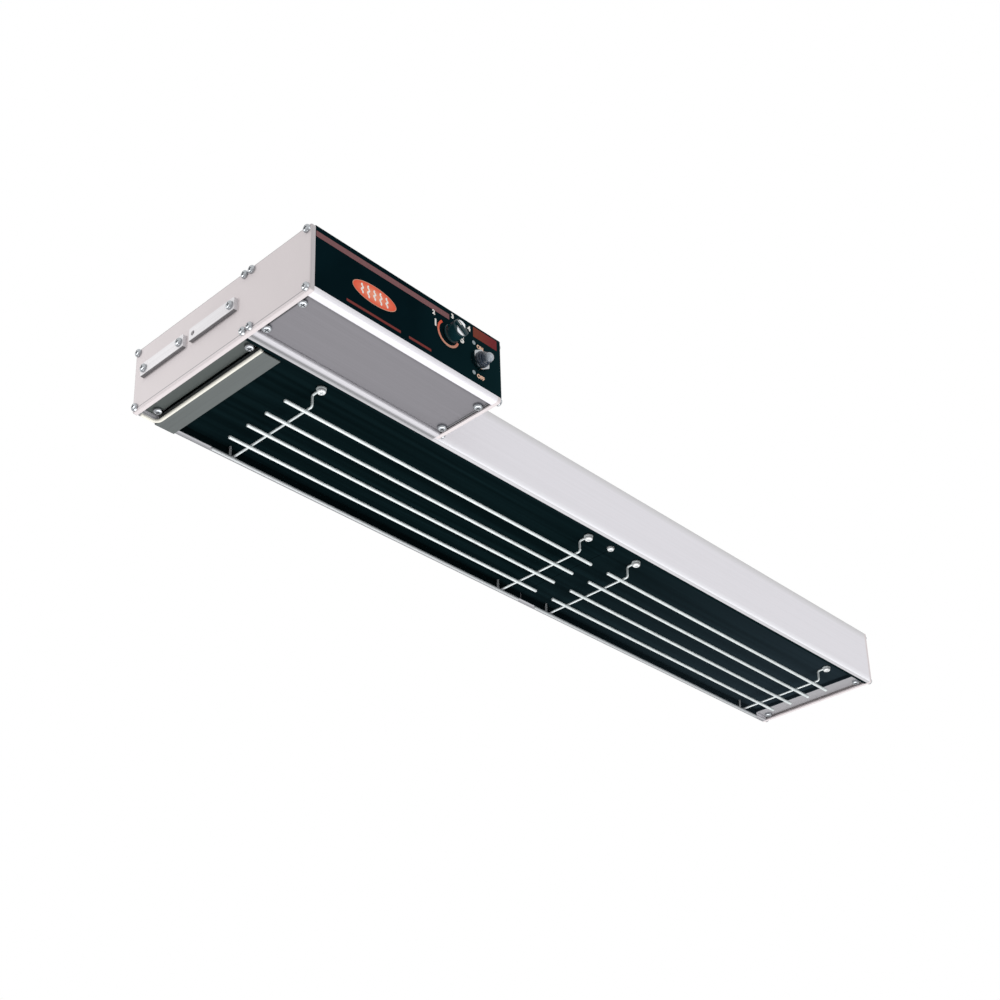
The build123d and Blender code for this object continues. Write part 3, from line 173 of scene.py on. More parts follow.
class WarmerPrint(bpy.types.PropertyGroup):
    """Sizes and places of what is printed on the panel, from its left edge and its lower edge."""
    thickness: length("Thickness", "Height of the print above the panel", 0.12)
    stripe_low: length("Stripe low", "Lower edge of the stripe", 48.2)
    stripe_high: length("Stripe high", "Upper edge of the stripe", 53.6)
    stripe_end: length("Stripe end", "Right end of the stripe", 146.0)
    badge_left: length("Badge left", "Left end of the badge", 38.5)
    badge_right: length("Badge right", "Right end of the badge", 85.5)
    badge_low: length("Badge low", "Lower edge of the badge", 16.5)
    badge_high: length("Badge high", "Upper edge of the badge", 34.5)
    line_height: length("Line height", "Width of the lines under the badge", 2.4)
    line_rise: length("Line rise", "Middle of the lines", 5.6)
    arc_radius: length("Arc radius", "Middle of the arc round the knob", 11.6)
    arc_shift: length("Arc shift", "Middle of the arc to the left of the knob's axis", 1.8)
    arc_width: length("Arc width", "Width of that arc", 2.2)
    arc_start: angle("Arc start", "Where the arc begins, turned from the right", 128)
    arc_sweep: angle("Arc sweep", "How far the arc goes round", 214)
    label_size: length("Label size", "Height of the switch's words", 5.0)


class WarmerControls(bpy.types.PropertyGroup):
    """Shape of the knob and of the switch's boot."""
    knob_steps: IntProperty(name="Knob steps", description="Sides of the knob's spin", default=96, min=16)
    knob_front: length("Knob front", "Radius of the knob at its face", 7.7)
    knob_round: length("Rounding", "Rounding of the knob's front edge", 1.0)
    # Reach of the painted highlight crescents on the knob's face.
    highlight_half: length("Highlight half", "Reach of the polished inlays to each side", 4.6)
    grip_width: length("Grip width", "Width of the grip across the knob", 4.4)
    grip_height: length("Grip height", "Height of the grip above the knob's face", 2.0)
    grip_tilt: angle("Grip tilt", "Turn of the grip below level on its right", 33)
    boot_steps: IntProperty(name="Boot steps", description="Sides of the boot's spin", default=64, min=16)
    boot_rib: length("Rib", "Depth of the boot's ribs", 0.45)


class WarmerStage(bpy.types.PropertyGroup):
    """Camera, lamps and floor."""
    camera_place: FloatVectorProperty(name="Camera", description="Where the camera stands",
                                      default=(-1.1241, -0.9516, -0.9013), unit="LENGTH", size=3)
    camera_azimuth: angle("Azimuth", "Turn of the view from +Y towards +X", 47.2455)
    camera_pitch: angle("Pitch", "Rise of the view above level", 23.6066)
    camera_roll: angle("Roll", "Turn of the view about its own line", -1.6504)
    lens: number("Lens", "Focal length in millimetres", 60.79)
    shift: number("Shift", "Upward shift of the frame", 0.25)
    floor_drop: length("Floor", "Floor below the warmer's underside", 1700.0)
    floor_colour: colour("Floor colour", "Pale floor", (0.86, 0.86, 0.87))
    ambient: number("Ambient", "Strength of the even light all round", 0.80)
    key_power: number("Key", "Power of the large front lamp in watts", 6.2)
    end_power: number("End", "Power of the lamp near the left end in watts", 1.5)
    fill_power: number("Fill", "Power of the lamp below in watts", 13.5)


# ---- materials

# Where most of a noise's values lie, for roughness and for colour.
NOISE_REACH = (0.3, 0.7)
COLOUR_REACH = (0.35, 0.65)
# The shader's specular level where a finish doesn't say another.
SPECULAR = 0.5
# The Mix node's sockets for a share and for colours.
MIX_SHARE, MIX_UNDER, MIX_OVER, MIX_RESULT = 0, 6, 7, 2


def plain_material(name, base, metallic, roughness, specular=SPECULAR):
    material = bpy.data.materials.new(name)
    material.use_nodes = True
    shader = material.node_tree.nodes["Principled BSDF"]
    shader.inputs["Base Color"].default_value = (*base, 1.0)
    shader.inputs["Metallic"].default_value = metallic
    shader.inputs["Roughness"].default_value = roughness
    shader.inputs["Specular IOR Level"].default_value = specular
    return material


def add_node(owner, kind, inputs=None, output=0, **settings):
    """One output of a new node in a material or a world, whose inputs take constants or outputs."""
    node = owner.node_tree.nodes.new("ShaderNode" + kind)
    for name, value in settings.items():
        setattr(node, name, value)
    for key, value in (inputs or {}).items():
        if isinstance(value, bpy.types.NodeSocket):
            owner.node_tree.links.new(value, node.inputs[key])
        else:
            node.inputs[key].default_value = value
    return node.outputs[output]


def feed(material, name, source):
    """Links a source to one of the shader's inputs."""
    shader = material.node_tree.nodes["Principled BSDF"]
    material.node_tree.links.new(source, shader.inputs[name])


def object_place(material):
    return add_node(material, "TexCoord", output="Object")


def noise(material, scale, detail=3.0, distortion=0.0):
    """A noise on Object coordinates. Its scale is in cycles a metre, one for all axes or one for each."""
    if isinstance(scale, float):
        scale = (scale, scale, scale)
    place = add_node(material, "Mapping", {"Vector": object_place(material), "Scale": scale})
    return add_node(material, "TexNoise", {"Vector": place, "Scale": 1.0, "Detail": detail,
                                           "Distortion": distortion})


def vary_roughness(material, source, low, high):
    spread = add_node(material, "MapRange", {"Value": source, "From Min": NOISE_REACH[0],
                                             "From Max": NOISE_REACH[1], "To Min": low, "To Max": high})
    feed(material, "Roughness", spread)


def colour_ramp(material, share, start, end, reach=(0.0, 1.0)):
    """A colour between two, by where a share lies in its reach."""
    result = add_node(material, "ValToRGB", {"Fac": share})
    for index, shade in enumerate((start, end)):
        element = result.node.color_ramp.elements[index]
        element.position = reach[index]
        element.color = (*shade, 1.0)
    return result


def vary_colour(material, source, base, spread, reach=COLOUR_REACH):
    """The base colour, darker and lighter by a share with the source."""
    darker = [c * (1 - spread) for c in base]
    lighter = [min(1.0, c * (1 + spread)) for c in base]
    feed(material, "Base Color", colour_ramp(material, source, darker, lighter, reach))


def bump(material, source, strength, depth):
    normal = add_node(material, "Bump", {"Height": source, "Strength": strength, "Distance": depth})
    feed(material, "Normal", normal)


def ramp(material, axis, start, end):
    """0 before one place along an axis and 1 past another."""
    place = add_node(material, "SeparateXYZ", {"Vector": object_place(material)}, output=axis)
    return add_node(material, "MapRange", {"Value": place, "From Min": start, "From Max": end})


def fade(material, axis, origin, start, end):
    """A ramp whose ends are given in millimetres from a place."""
    return ramp(material, axis, origin + start * MM, origin + end * MM)


def overlap(material, *shares):
    """The product of shares."""
    whole = shares[0]
    for share in shares[1:]:
        whole = add_node(material, "Math", {0: whole, 1: share}, operation="MULTIPLY")
    return whole


def cover_colour(material, other, *shares):
    """Lays a colour, or what gives one, over the base colour where the shares overlap."""
    base = material.node_tree.nodes["Principled BSDF"].inputs["Base Color"].links[0].from_socket
    over = other if isinstance(other, bpy.types.NodeSocket) else (*other, 1.0)
    mix = add_node(material, "Mix", {MIX_SHARE: overlap(material, *shares), MIX_UNDER: base,
                                     MIX_OVER: over}, MIX_RESULT, data_type="RGBA")
    feed(material, "Base Color", mix)


def drawn_metal(name, base, metallic, low, high, grain=(6.0, 700.0, 700.0), spread=0.035):
    """Satin metal, its roughness from low to high, with fine lines along the way it was drawn."""
    material = plain_material(name, base, metallic, (low + high) / 2)
    lines = noise(material, grain, detail=4.0)
    vary_roughness(material, lines, low, high)
    vary_colour(material, lines, base, spread)
    bump(material, lines, 0.08, 0.05 * MM)
    return material


def painted_metal(name, base, roughness, spread=0.02, specular=0.4):
    """Smooth paint with a slight orange peel and faint marks of handling."""
    material = plain_material(name, base, 0.0, roughness, specular)
    marks = noise(material, 14.0, detail=6.0, distortion=0.6)
    vary_roughness(material, marks, roughness - 0.05, roughness + 0.07)
    vary_colour(material, marks, base, spread)
    bump(material, noise(material, 420.0, detail=2.0), 0.10, 0.06 * MM)
    return material


def plated_steel(name, base, roughness, metallic=1.0):
    material = plain_material(name, base, metallic, roughness)
    tarnish_and_shade = noise(material, 160.0, detail=5.0)
    vary_roughness(material, tarnish_and_shade, roughness - 0.05, roughness + 0.12)
    vary_colour(material, tarnish_and_shade, base, 0.06)
    return material


def moulded_plastic(name, base, roughness, specular=SPECULAR):
    material = plain_material(name, base, 0.0, roughness, specular)
    flow = noise(material, 260.0)
    vary_roughness(material, flow, roughness - 0.03, roughness + 0.05)
    bump(material, flow, 0.04, 0.04 * MM)
    return material


def printed_ink(name, base):
    material = plain_material(name, base, 0.0, 0.42, 0.05)
    screen = noise(material, 900.0, detail=1.0)
    vary_colour(material, screen, base, 0.06)
    bump(material, screen, 0.05, 0.02 * MM)
    return material


def dress(material, *nodes):
    """Gives CAD nodes a material in every slot."""
    for node in nodes:
        target = frame["nodes"][node]
        if not target.material_slots:
            target.data.materials.append(material)
        for material_slot in target.material_slots:
            material_slot.material = material


# ---- meshes

MERGE_WITHIN = 0.002 * MM
# A text's strokes are thickened by this share of its size.
STROKE = 0.05


def add_object(name, form, material):
    mesh = bpy.data.meshes.new(name)
    form.to_mesh(mesh)
    form.free()
    mesh.materials.append(material)
    made = bpy.data.objects.new(name, mesh)
    bpy.context.scene.collection.objects.link(made)
    return made


def add_piece(name, form, material, body, sharp=35.0):
    """A finished piece from a bmesh: normals outward, smooth with sharp edges, riding on a body if given."""
    bmesh.ops.remove_doubles(form, verts=form.verts, dist=MERGE_WITHIN)
    bmesh.ops.recalc_face_normals(form, faces=form.faces)
    piece = add_object(name, form, material)
    piece.data.polygons.foreach_set("use_smooth", [True] * len(piece.data.polygons))
    piece.data.set_sharp_from_angle(angle=math.radians(sharp))
    if body:
        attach(piece, body)
    return piece


def edges_of(verts):
    return list(dict.fromkeys(edge for vertex in verts for edge in vertex.link_edges))


def add_block(form, low, high, rounding=0.0, segments=5, all_round=False):
    """A block between two corners, its edges along Y rounded, or all of them."""
    size = Vector(high) - Vector(low)
    place = Matrix.Translation((Vector(high) + Vector(low)) / 2) @ Matrix.Diagonal((*size, 1.0))
    edges = edges_of(bmesh.ops.create_cube(form, size=1.0, matrix=place)["verts"])
    if not all_round:
        edges = [e for e in edges if abs(e.verts[0].co.y - e.verts[1].co.y) > size.y / 2]
    if rounding:
        bmesh.ops.bevel(form, geom=edges, offset=rounding, offset_type="OFFSET", affect="EDGES",
                        segments=segments, profile=0.5, material=-1, clamp_overlap=True)


def thicken(form, depth):
    """Makes a flat form a slab, towards -Y."""
    made = bmesh.ops.extrude_face_region(form, geom=list(form.faces))["geom"]
    moved = [item for item in made if isinstance(item, bmesh.types.BMVert)]
    bmesh.ops.translate(form, verts=moved, vec=(0, -depth, 0))


def quarter_turn(steps, first=0):
    """The cosine and the sine of each step of a quarter turn, from the first."""
    turns = [math.radians(90 * step / steps) for step in range(first, steps + 1)]
    return [(math.cos(turn), math.sin(turn)) for turn in turns]


def spin_profile(form, profile, centre, steps):
    """Turns a profile of (radius, place along -Y) about the line along Y through the centre."""
    line = [form.verts.new((centre.x + radius, centre.y - depth, centre.z)) for radius, depth in profile]
    edges = [form.edges.new(pair) for pair in zip(line, line[1:])]
    bmesh.ops.spin(form, geom=line + edges, cent=centre, axis=(0, 1, 0), steps=steps, angle=2 * math.pi,
                   use_merge=True)


def mesh_of(curve, name):
    """A curve's or a text's mesh; the curve itself leaves the scene."""
    holder = bpy.data.objects.new(name + "_curve", curve)
    bpy.context.scene.collection.objects.link(holder)
    bpy.context.view_layer.update()
    evaluated = holder.evaluated_get(bpy.context.evaluated_depsgraph_get())
    mesh = bpy.data.meshes.new_from_object(evaluated)
    bpy.data.objects.remove(holder)
    return mesh


def sweep_round(runs, radius, name, smooth=False):
    """A bmesh of round beads, one along each run of points."""
    curve = bpy.data.curves.new(name, "CURVE")
    curve.dimensions = "3D"
    curve.bevel_depth = radius
    curve.bevel_resolution = 4
    curve.use_fill_caps = True
    for run in runs:
        spline = curve.splines.new("NURBS" if smooth else "POLY")
        spline.points.add(len(run) - 1)
        for point, place in zip(spline.points, run):
            point.co = (*place, 1.0)
        if smooth:
            spline.use_endpoint_u = True
            spline.order_u = 4
    form = bmesh.new()
    form.from_mesh(mesh_of(curve, name))
    return form


def panel_text(words, size, x, z, depth, material, name):
    """Words standing on the panel's face, centred at (x, z)."""
    curve = bpy.data.curves.new(name, "FONT")
    curve.body = words
    curve.size = size
    curve.align_x = "CENTER"
    curve.align_y = "CENTER"
    curve.extrude = depth / 2
    curve.offset = size * STROKE
    curve.resolution_u = 3
    mesh = mesh_of(curve, name)
    stand = Matrix.Translation((x, PANEL_FACE - depth / 2, z)) @ Matrix.Rotation(math.pi / 2, 4, "X")
    mesh.transform(stand)
    form = bmesh.new()
    form.from_mesh(mesh)
    return add_piece(name, form, material, HOUSING)


# ---- places read from the frame

PANEL_LOW, PANEL_HIGH = corners("control_panel")
PANEL_FACE = PANEL_LOW.y
DIAL = middle("control_knob")
KNOB_LOW, KNOB_HIGH = corners("control_knob")
SWITCH = middle("boot_nut")
NUT_LOW, NUT_HIGH = corners("boot_nut")
TROUGH_LOW, TROUGH_HIGH = corners("main_housing")
UNDERSIDE = TROUGH_LOW.z
RIM = 7.4 * MM
RIM_FRONT = TROUGH_LOW.y + RIM
RIM_REAR = TROUGH_HIGH.y - RIM
EMITTER_THICKNESS = 1.5 * MM
EMITTER_FACE = corners("left_emitter")[1].z - EMITTER_THICKNESS
THROW_JOINT = next(joint for joint in frame["joints"] if joint["name"] == "switch_throw")
PIVOT = Vector(THROW_JOINT["pos_m"])
REST_TILT = math.radians(THROW_JOINT["range_deg"][1]) / 2


# ---- operators

# The grain of the covers that are brushed across the trough, and the finish of both extrusions.
ACROSS = (500.0, 8.0, 500.0)
SATIN = {"metallic": 0.12, "low": 0.42, "high": 0.54, "spread": 0.018}


class WarmerOperator(bpy.types.Operator):
    """Shared options of the warmer's operators."""
    bl_options = {"REGISTER", "UNDO"}


class WARMER_OT_extrusions(WarmerOperator):
    """Gives the trough and the control box their drawn aluminium, with painted light and shade on the
    trough's face, under its rims and on the box's flange
    """
    bl_idname = "warmer.extrusions"
    bl_label = "Extrusions"

    def execute(self, context):
        finishes = context.scene.warmer_finishes
        box = drawn_metal("satin_aluminium", finishes.extrusion, **SATIN)
        below = fade(box, "Z", UNDERSIDE, 4.0, 3.0)
        # Painted shade on the box's underside flange beside the trough, deeper along the joint.
        cover_colour(box, finishes.box_flange_shade, fade(box, "Y", TROUGH_LOW.y, -12.0, -9.0), below)
        cover_colour(box, finishes.joint_shade, fade(box, "Y", TROUGH_LOW.y, -3.5, -0.5), below)
        dress(box, "control_box_housing")
        trough = drawn_metal("heated_aluminium", finishes.extrusion, **SATIN)
        self.shade_front(trough, finishes)
        self.add_rim_shade(trough, finishes)
        dress(trough, "main_housing")
        return {"FINISHED"}

    def shade_front(self, material, finishes):
        """Painted shade along the front face's upper edge and painted light along its lower one."""
        front = fade(material, "Y", TROUGH_LOW.y, 2.5, 1.5)
        cover_colour(material, finishes.face_upper_shade, front, fade(material, "Z", TROUGH_HIGH.z, -10.0, -1.0))
        cover_colour(material, finishes.face_lower_light, front, fade(material, "Z", UNDERSIDE, 8.0, 2.0))

    def add_rim_shade(self, material, finishes):
        """Under the rims only: painted shade under the rear rim that deepens to its outer edge, and at the
        front painted shade on the rim, deeper beside the box, with the emitters' black painted along its
        inner edge."""
        under = fade(material, "Z", UNDERSIDE, 1.9, 0.9)
        rear = fade(material, "Y", RIM_REAR, -0.6, 0.0)
        deepening = fade(material, "Y", RIM_REAR, 0.0, 6.8)
        # Painted shade under the rear rim, lighter at its inner edge and darker at its outer edge.
        tarnish_and_shade = colour_ramp(material, deepening, finishes.rear_rim_shade_inner, finishes.rear_rim_shade_outer)
        cover_colour(material, tarnish_and_shade, under, rear)
        ahead = fade(material, "Y", 0.0, 0.0, -1.0)
        behind_face = fade(material, "Y", TROUGH_LOW.y, 0.6, 1.2)
        # Painted shade under the front rim.
        cover_colour(material, finishes.front_rim_shade, under, ahead, behind_face)
        beside_joint = fade(material, "Y", TROUGH_LOW.y, 4.5, 0.8)
        beside_box = fade(material, "X", corners("control_box_housing")[1].x, 0.5, -0.5)
        cover_colour(material, finishes.joint_shade, under, beside_joint, beside_box)
        # Painted black, in the emitters' colour and without gloss, along the front rim's inner edge.
        inner = fade(material, "Y", RIM_FRONT, -3.4, -3.1)
        black = overlap(material, under, inner, ahead)
        cover_colour(material, finishes.emitter, black)
        for name, plain in (("Specular IOR Level", SPECULAR), ("Metallic", SATIN["metallic"])):
            fall = add_node(material, "MapRange", {"Value": black, "To Min": plain, "To Max": 0.0})
            feed(material, name, fall)


class WARMER_OT_end_plates(WarmerOperator):
    """Paints the end plates and plates the bars on the left one"""
    bl_idname = "warmer.end_plates"
    bl_label = "End Plates"

    def execute(self, context):
        finishes = context.scene.warmer_finishes
        paint = painted_metal("warm_grey_paint", finishes.end_plate, 0.45)
        dress(paint, "right_end_plate", "control_box_end_plate")
        lined = painted_metal("lined_grey_paint", finishes.end_plate, 0.45)
        self.add_lines(lined, finishes)
        dress(lined, "left_end_plate")
        bright = drawn_metal("bright_bar", finishes.bars, 0.15, 0.36, 0.48, grain=(700.0, 8.0, 700.0))
        underside = fade(bright, "Z", corners("left_mounting_bars")[0].z, 0.7, 0.4)
        cover_colour(bright, finishes.bar_shade, underside)
        dress(bright, "left_mounting_bars")
        return {"FINISHED"}

    def add_lines(self, material, finishes):
        """Paints shade on the plate's top, front and rear edges, and a shaded line over the fold along its
        lower edge.
        """
        low, high = corners("left_end_plate")
        cover_colour(material, finishes.plate_line, fade(material, "Z", high.z, -1.8, -1.2))
        cover_colour(material, finishes.plate_line, fade(material, "Y", high.y, -1.4, -1.0))
        fold = fade(material, "Z", low.z, 2.2, 2.5), fade(material, "Z", low.z, 3.4, 3.1)
        cover_colour(material, finishes.plate_line, *fold)
        cover_colour(material, finishes.plate_front_shade, fade(material, "Y", low.y, 0.5, 0.3))


class WARMER_OT_covers(WarmerOperator):
    """Finishes the covers under the box and at the trough's ends"""
    bl_idname = "warmer.covers"
    bl_label = "Covers"

    def execute(self, context):
        finishes = context.scene.warmer_finishes
        brushed = drawn_metal("brushed_cover", finishes.box_cover, 0.35, 0.42, 0.56, spread=0.06)
        low = corners("control_box_cover")[0]
        cover_colour(brushed, finishes.cover_shade, fade(brushed, "Y", low.y, 5.0, 0.0))
        # Painted shadow along the cover's left edge, beside the end plate.
        cover_colour(brushed, finishes.cover_edge_shadow, fade(brushed, "X", low.x, 3.4, 2.2))
        dress(brushed, "control_box_cover")
        for name, base, node in (("green_grey_cover", finishes.left_cover, "left_terminal_cover"),
                                 ("grey_strap", finishes.strap, "left_end_strap")):
            dress(drawn_metal(name, base, 0.30, 0.40, 0.55, grain=ACROSS, spread=0.07), node)
        light = drawn_metal("light_cover", finishes.right_cover, 0.35, 0.38, 0.52, grain=ACROSS)
        dress(light, "right_terminal_cover")
        self.add_strap_highlight(finishes)
        return {"FINISHED"}

    def add_strap_highlight(self, finishes):
        """A cream bead on the strap's turned-up edge, bent along the rear rim to the end plate; its cream is
        a painted highlight on that lit edge.
        """
        low = corners("left_end_strap")[0]
        radius, bend, rise = 1.6 * MM, 6.0 * MM, 0.2 * MM
        front, rear = RIM_FRONT + 0.5 * MM, RIM_REAR + 2.2 * MM
        height = low.z + rise
        points = [(low.x, front, height), (low.x, rear - bend, height)]
        points += [(low.x - bend * (1 - cosine), rear - bend * (1 - sine), height)
                   for cosine, sine in quarter_turn(8, 1)]
        points.append((TROUGH_LOW.x + 1.0 * MM, rear, height))
        # Its cream is a painted highlight on the lit edge.
        strap_highlight_paint = painted_metal("cream_bead", finishes.bead, 0.35)
        add_piece("strap_bead", sweep_round([points], radius, "strap_bead"), strap_highlight_paint, HOUSING)


class WARMER_OT_seams(WarmerOperator):
    """Lays grey beads, as painted shadow, in the joint between the extrusions and on three sides of the box
    cover
    """
    bl_idname = "warmer.seams"
    bl_label = "Seams"

    def execute(self, context):
        joint_shadow = moulded_plastic("dark_sealant", context.scene.warmer_finishes.joint_shadow, 0.60)
        low, high = corners("control_box_housing")
        radius, rise = 1.35 * MM, 1.6 * MM
        # A grey bead in the joint of the extrusions, as painted shadow.
        joint = [(x, TROUGH_LOW.y, UNDERSIDE + rise) for x in (low.x, high.x)]
        form = sweep_round([joint], radius, "joint_bead")
        add_piece("joint_bead", form, joint_shadow, HOUSING)
        # Grey strips round three sides of the box cover, as painted shadow.
        low, high = corners("control_box_cover")
        gap, lap = 0.5 * MM, 0.2 * MM
        bottom, top = low.z - 0.6 * MM, low.z + 0.3 * MM
        form = bmesh.new()
        add_block(form, (low.x, low.y - gap, bottom), (high.x, low.y + lap, top))
        add_block(form, (low.x - 2 * gap, low.y - gap, bottom), (low.x + lap, high.y + gap, top))
        add_block(form, (high.x - lap, low.y - gap, bottom), (high.x + 2 * gap, high.y + gap, top))
        add_piece("cover_bead", form, joint_shadow, HOUSING)
        return {"FINISHED"}


class WARMER_OT_fasteners(WarmerOperator):
    """Plates the screws, nuts and bushings"""
    bl_idname = "warmer.fasteners"
    bl_label = "Fasteners"

    def execute(self, context):
        finishes = context.scene.warmer_finishes
        dress(plated_steel("plated_screws", finishes.plated, 0.20), "end_plate_screws",
              "mounting_bar_screws", "terminal_cover_screws", "control_cover_screws", "joining_screws",
              "hanger_nuts")
        dress(plated_steel("pale_zinc", finishes.pale_screws, 0.34, 0.30), "guard_screws", "center_screw")
        dress(plated_steel("nickel_plate", finishes.plated, 0.10), "control_nut", "boot_nut",
              "toggle_lever", "control_shaft")
        dress(moulded_plastic("black_nylon", finishes.nylon, 0.45), "lead_grommet", "inlet_bushing")
        return {"FINISHED"}


class WARMER_OT_emitters(WarmerOperator):
    """Gives the emitters their black radiant face, with painted light towards its right end"""
    bl_idname = "warmer.emitters"
    bl_label = "Emitters"

    def execute(self, context):
        finishes = context.scene.warmer_finishes
        black = plain_material("black_emitter", finishes.emitter, 0.0, 0.22, 0.0)
        streaks = noise(black, (3.0, 170.0, 3.0), detail=4.0, distortion=0.3)
        vary_colour(black, streaks, finishes.emitter, 0.32, reach=(0.40, 0.74))
        # Painted light: the emitters' face grows lighter towards the right end.
        far_dark = [0.6 * c for c in finishes.emitter_far_light]
        far_end = TROUGH_HIGH.x - 60.0 * MM
        cover_colour(black, colour_ramp(black, streaks, far_dark, finishes.emitter_far_light),
                     ramp(black, "X", 0.0, far_end))
        vary_roughness(black, streaks, 0.16, 0.30)
        bump(black, noise(black, 650.0, detail=2.0), 0.06, 0.04 * MM)
        dress(black, "left_emitter", "right_emitter")
        self.add_rim_strips(black)
        return {"FINISHED"}

    def add_rim_strips(self, black):
        """Strips in the emitters' black on the rims' inner faces, below the emitters' long edges."""
        thickness, lift = 0.35 * MM, 0.5 * MM
        for name, node in (("left_skirts", "left_emitter"), ("right_skirts", "right_emitter")):
            low, high = corners(node)
            form = bmesh.new()
            for near, far in ((RIM_FRONT, RIM_FRONT + thickness), (RIM_REAR - thickness, RIM_REAR)):
                add_block(form, (low.x, near, UNDERSIDE + lift), (high.x, far, EMITTER_FACE))
            add_piece(name, form, black, HOUSING)


class WARMER_OT_guards(WarmerOperator):
    """Polishes the wire guards"""
    bl_idname = "warmer.guards"
    bl_label = "Wire Guards"

    def execute(self, context):
        finishes = context.scene.warmer_finishes
        wire = plated_steel("bright_wire", finishes.wire, 0.36, 0.35)
        # Painted shade on the wire over the rear rim.
        cover_colour(wire, finishes.wire_rear_shade, fade(wire, "Y", RIM_REAR, -13.0, -11.0))
        dress(wire, "left_wire_guard", "right_wire_guard")
        return {"FINISHED"}


# The dial's figures: height, and place across and up from the knob's axis, in millimetres.
FIGURES = (("1", 9.0, -16.6, 3.6), ("2", 6.0, -18.6, 13.0), ("3", 6.0, 3.4, 20.6), ("4", 6.6, 23.0, 18.6),
           ("5", 9.0, 14.6, 2.6))
# The switch's words and dots: place across and up from its axis, in millimetres.
WORDS = (("ON", 2.0, 14.6), ("OFF", 2.0, -15.4))
DOTS = ((-5.4, 16.4), (-6.0, -14.0))
DOT_RADIUS = 1.9 * MM
# Printed areas: left, right, lower and upper edge, and rounding, in millimetres.
BLOCK = (174.5, 203.2, 46.5, 56.6, 0.4)
BLOCK_FADE = (178.0, 198.0)
LINE_ENDS = (("panel_line_left", 32.5, 90.5), ("panel_line_right", 99.5, 124.5))
# The badge's rim, and the height of its field as a multiple of the print's.
BADGE_RIM, BADGE_LAYERS = 0.6 * MM, 1.5
# Its heat waves, their reach as a share of the badge's half height and their thickness as one of theirs.
WAVE_SPACING, WAVE_SWAY, WAVE_RADIUS = 6.6 * MM, 1.3 * MM, 0.8 * MM
ODD_REACH, EVEN_REACH, WAVE_FLATTEN = 0.62, 0.50, 0.15


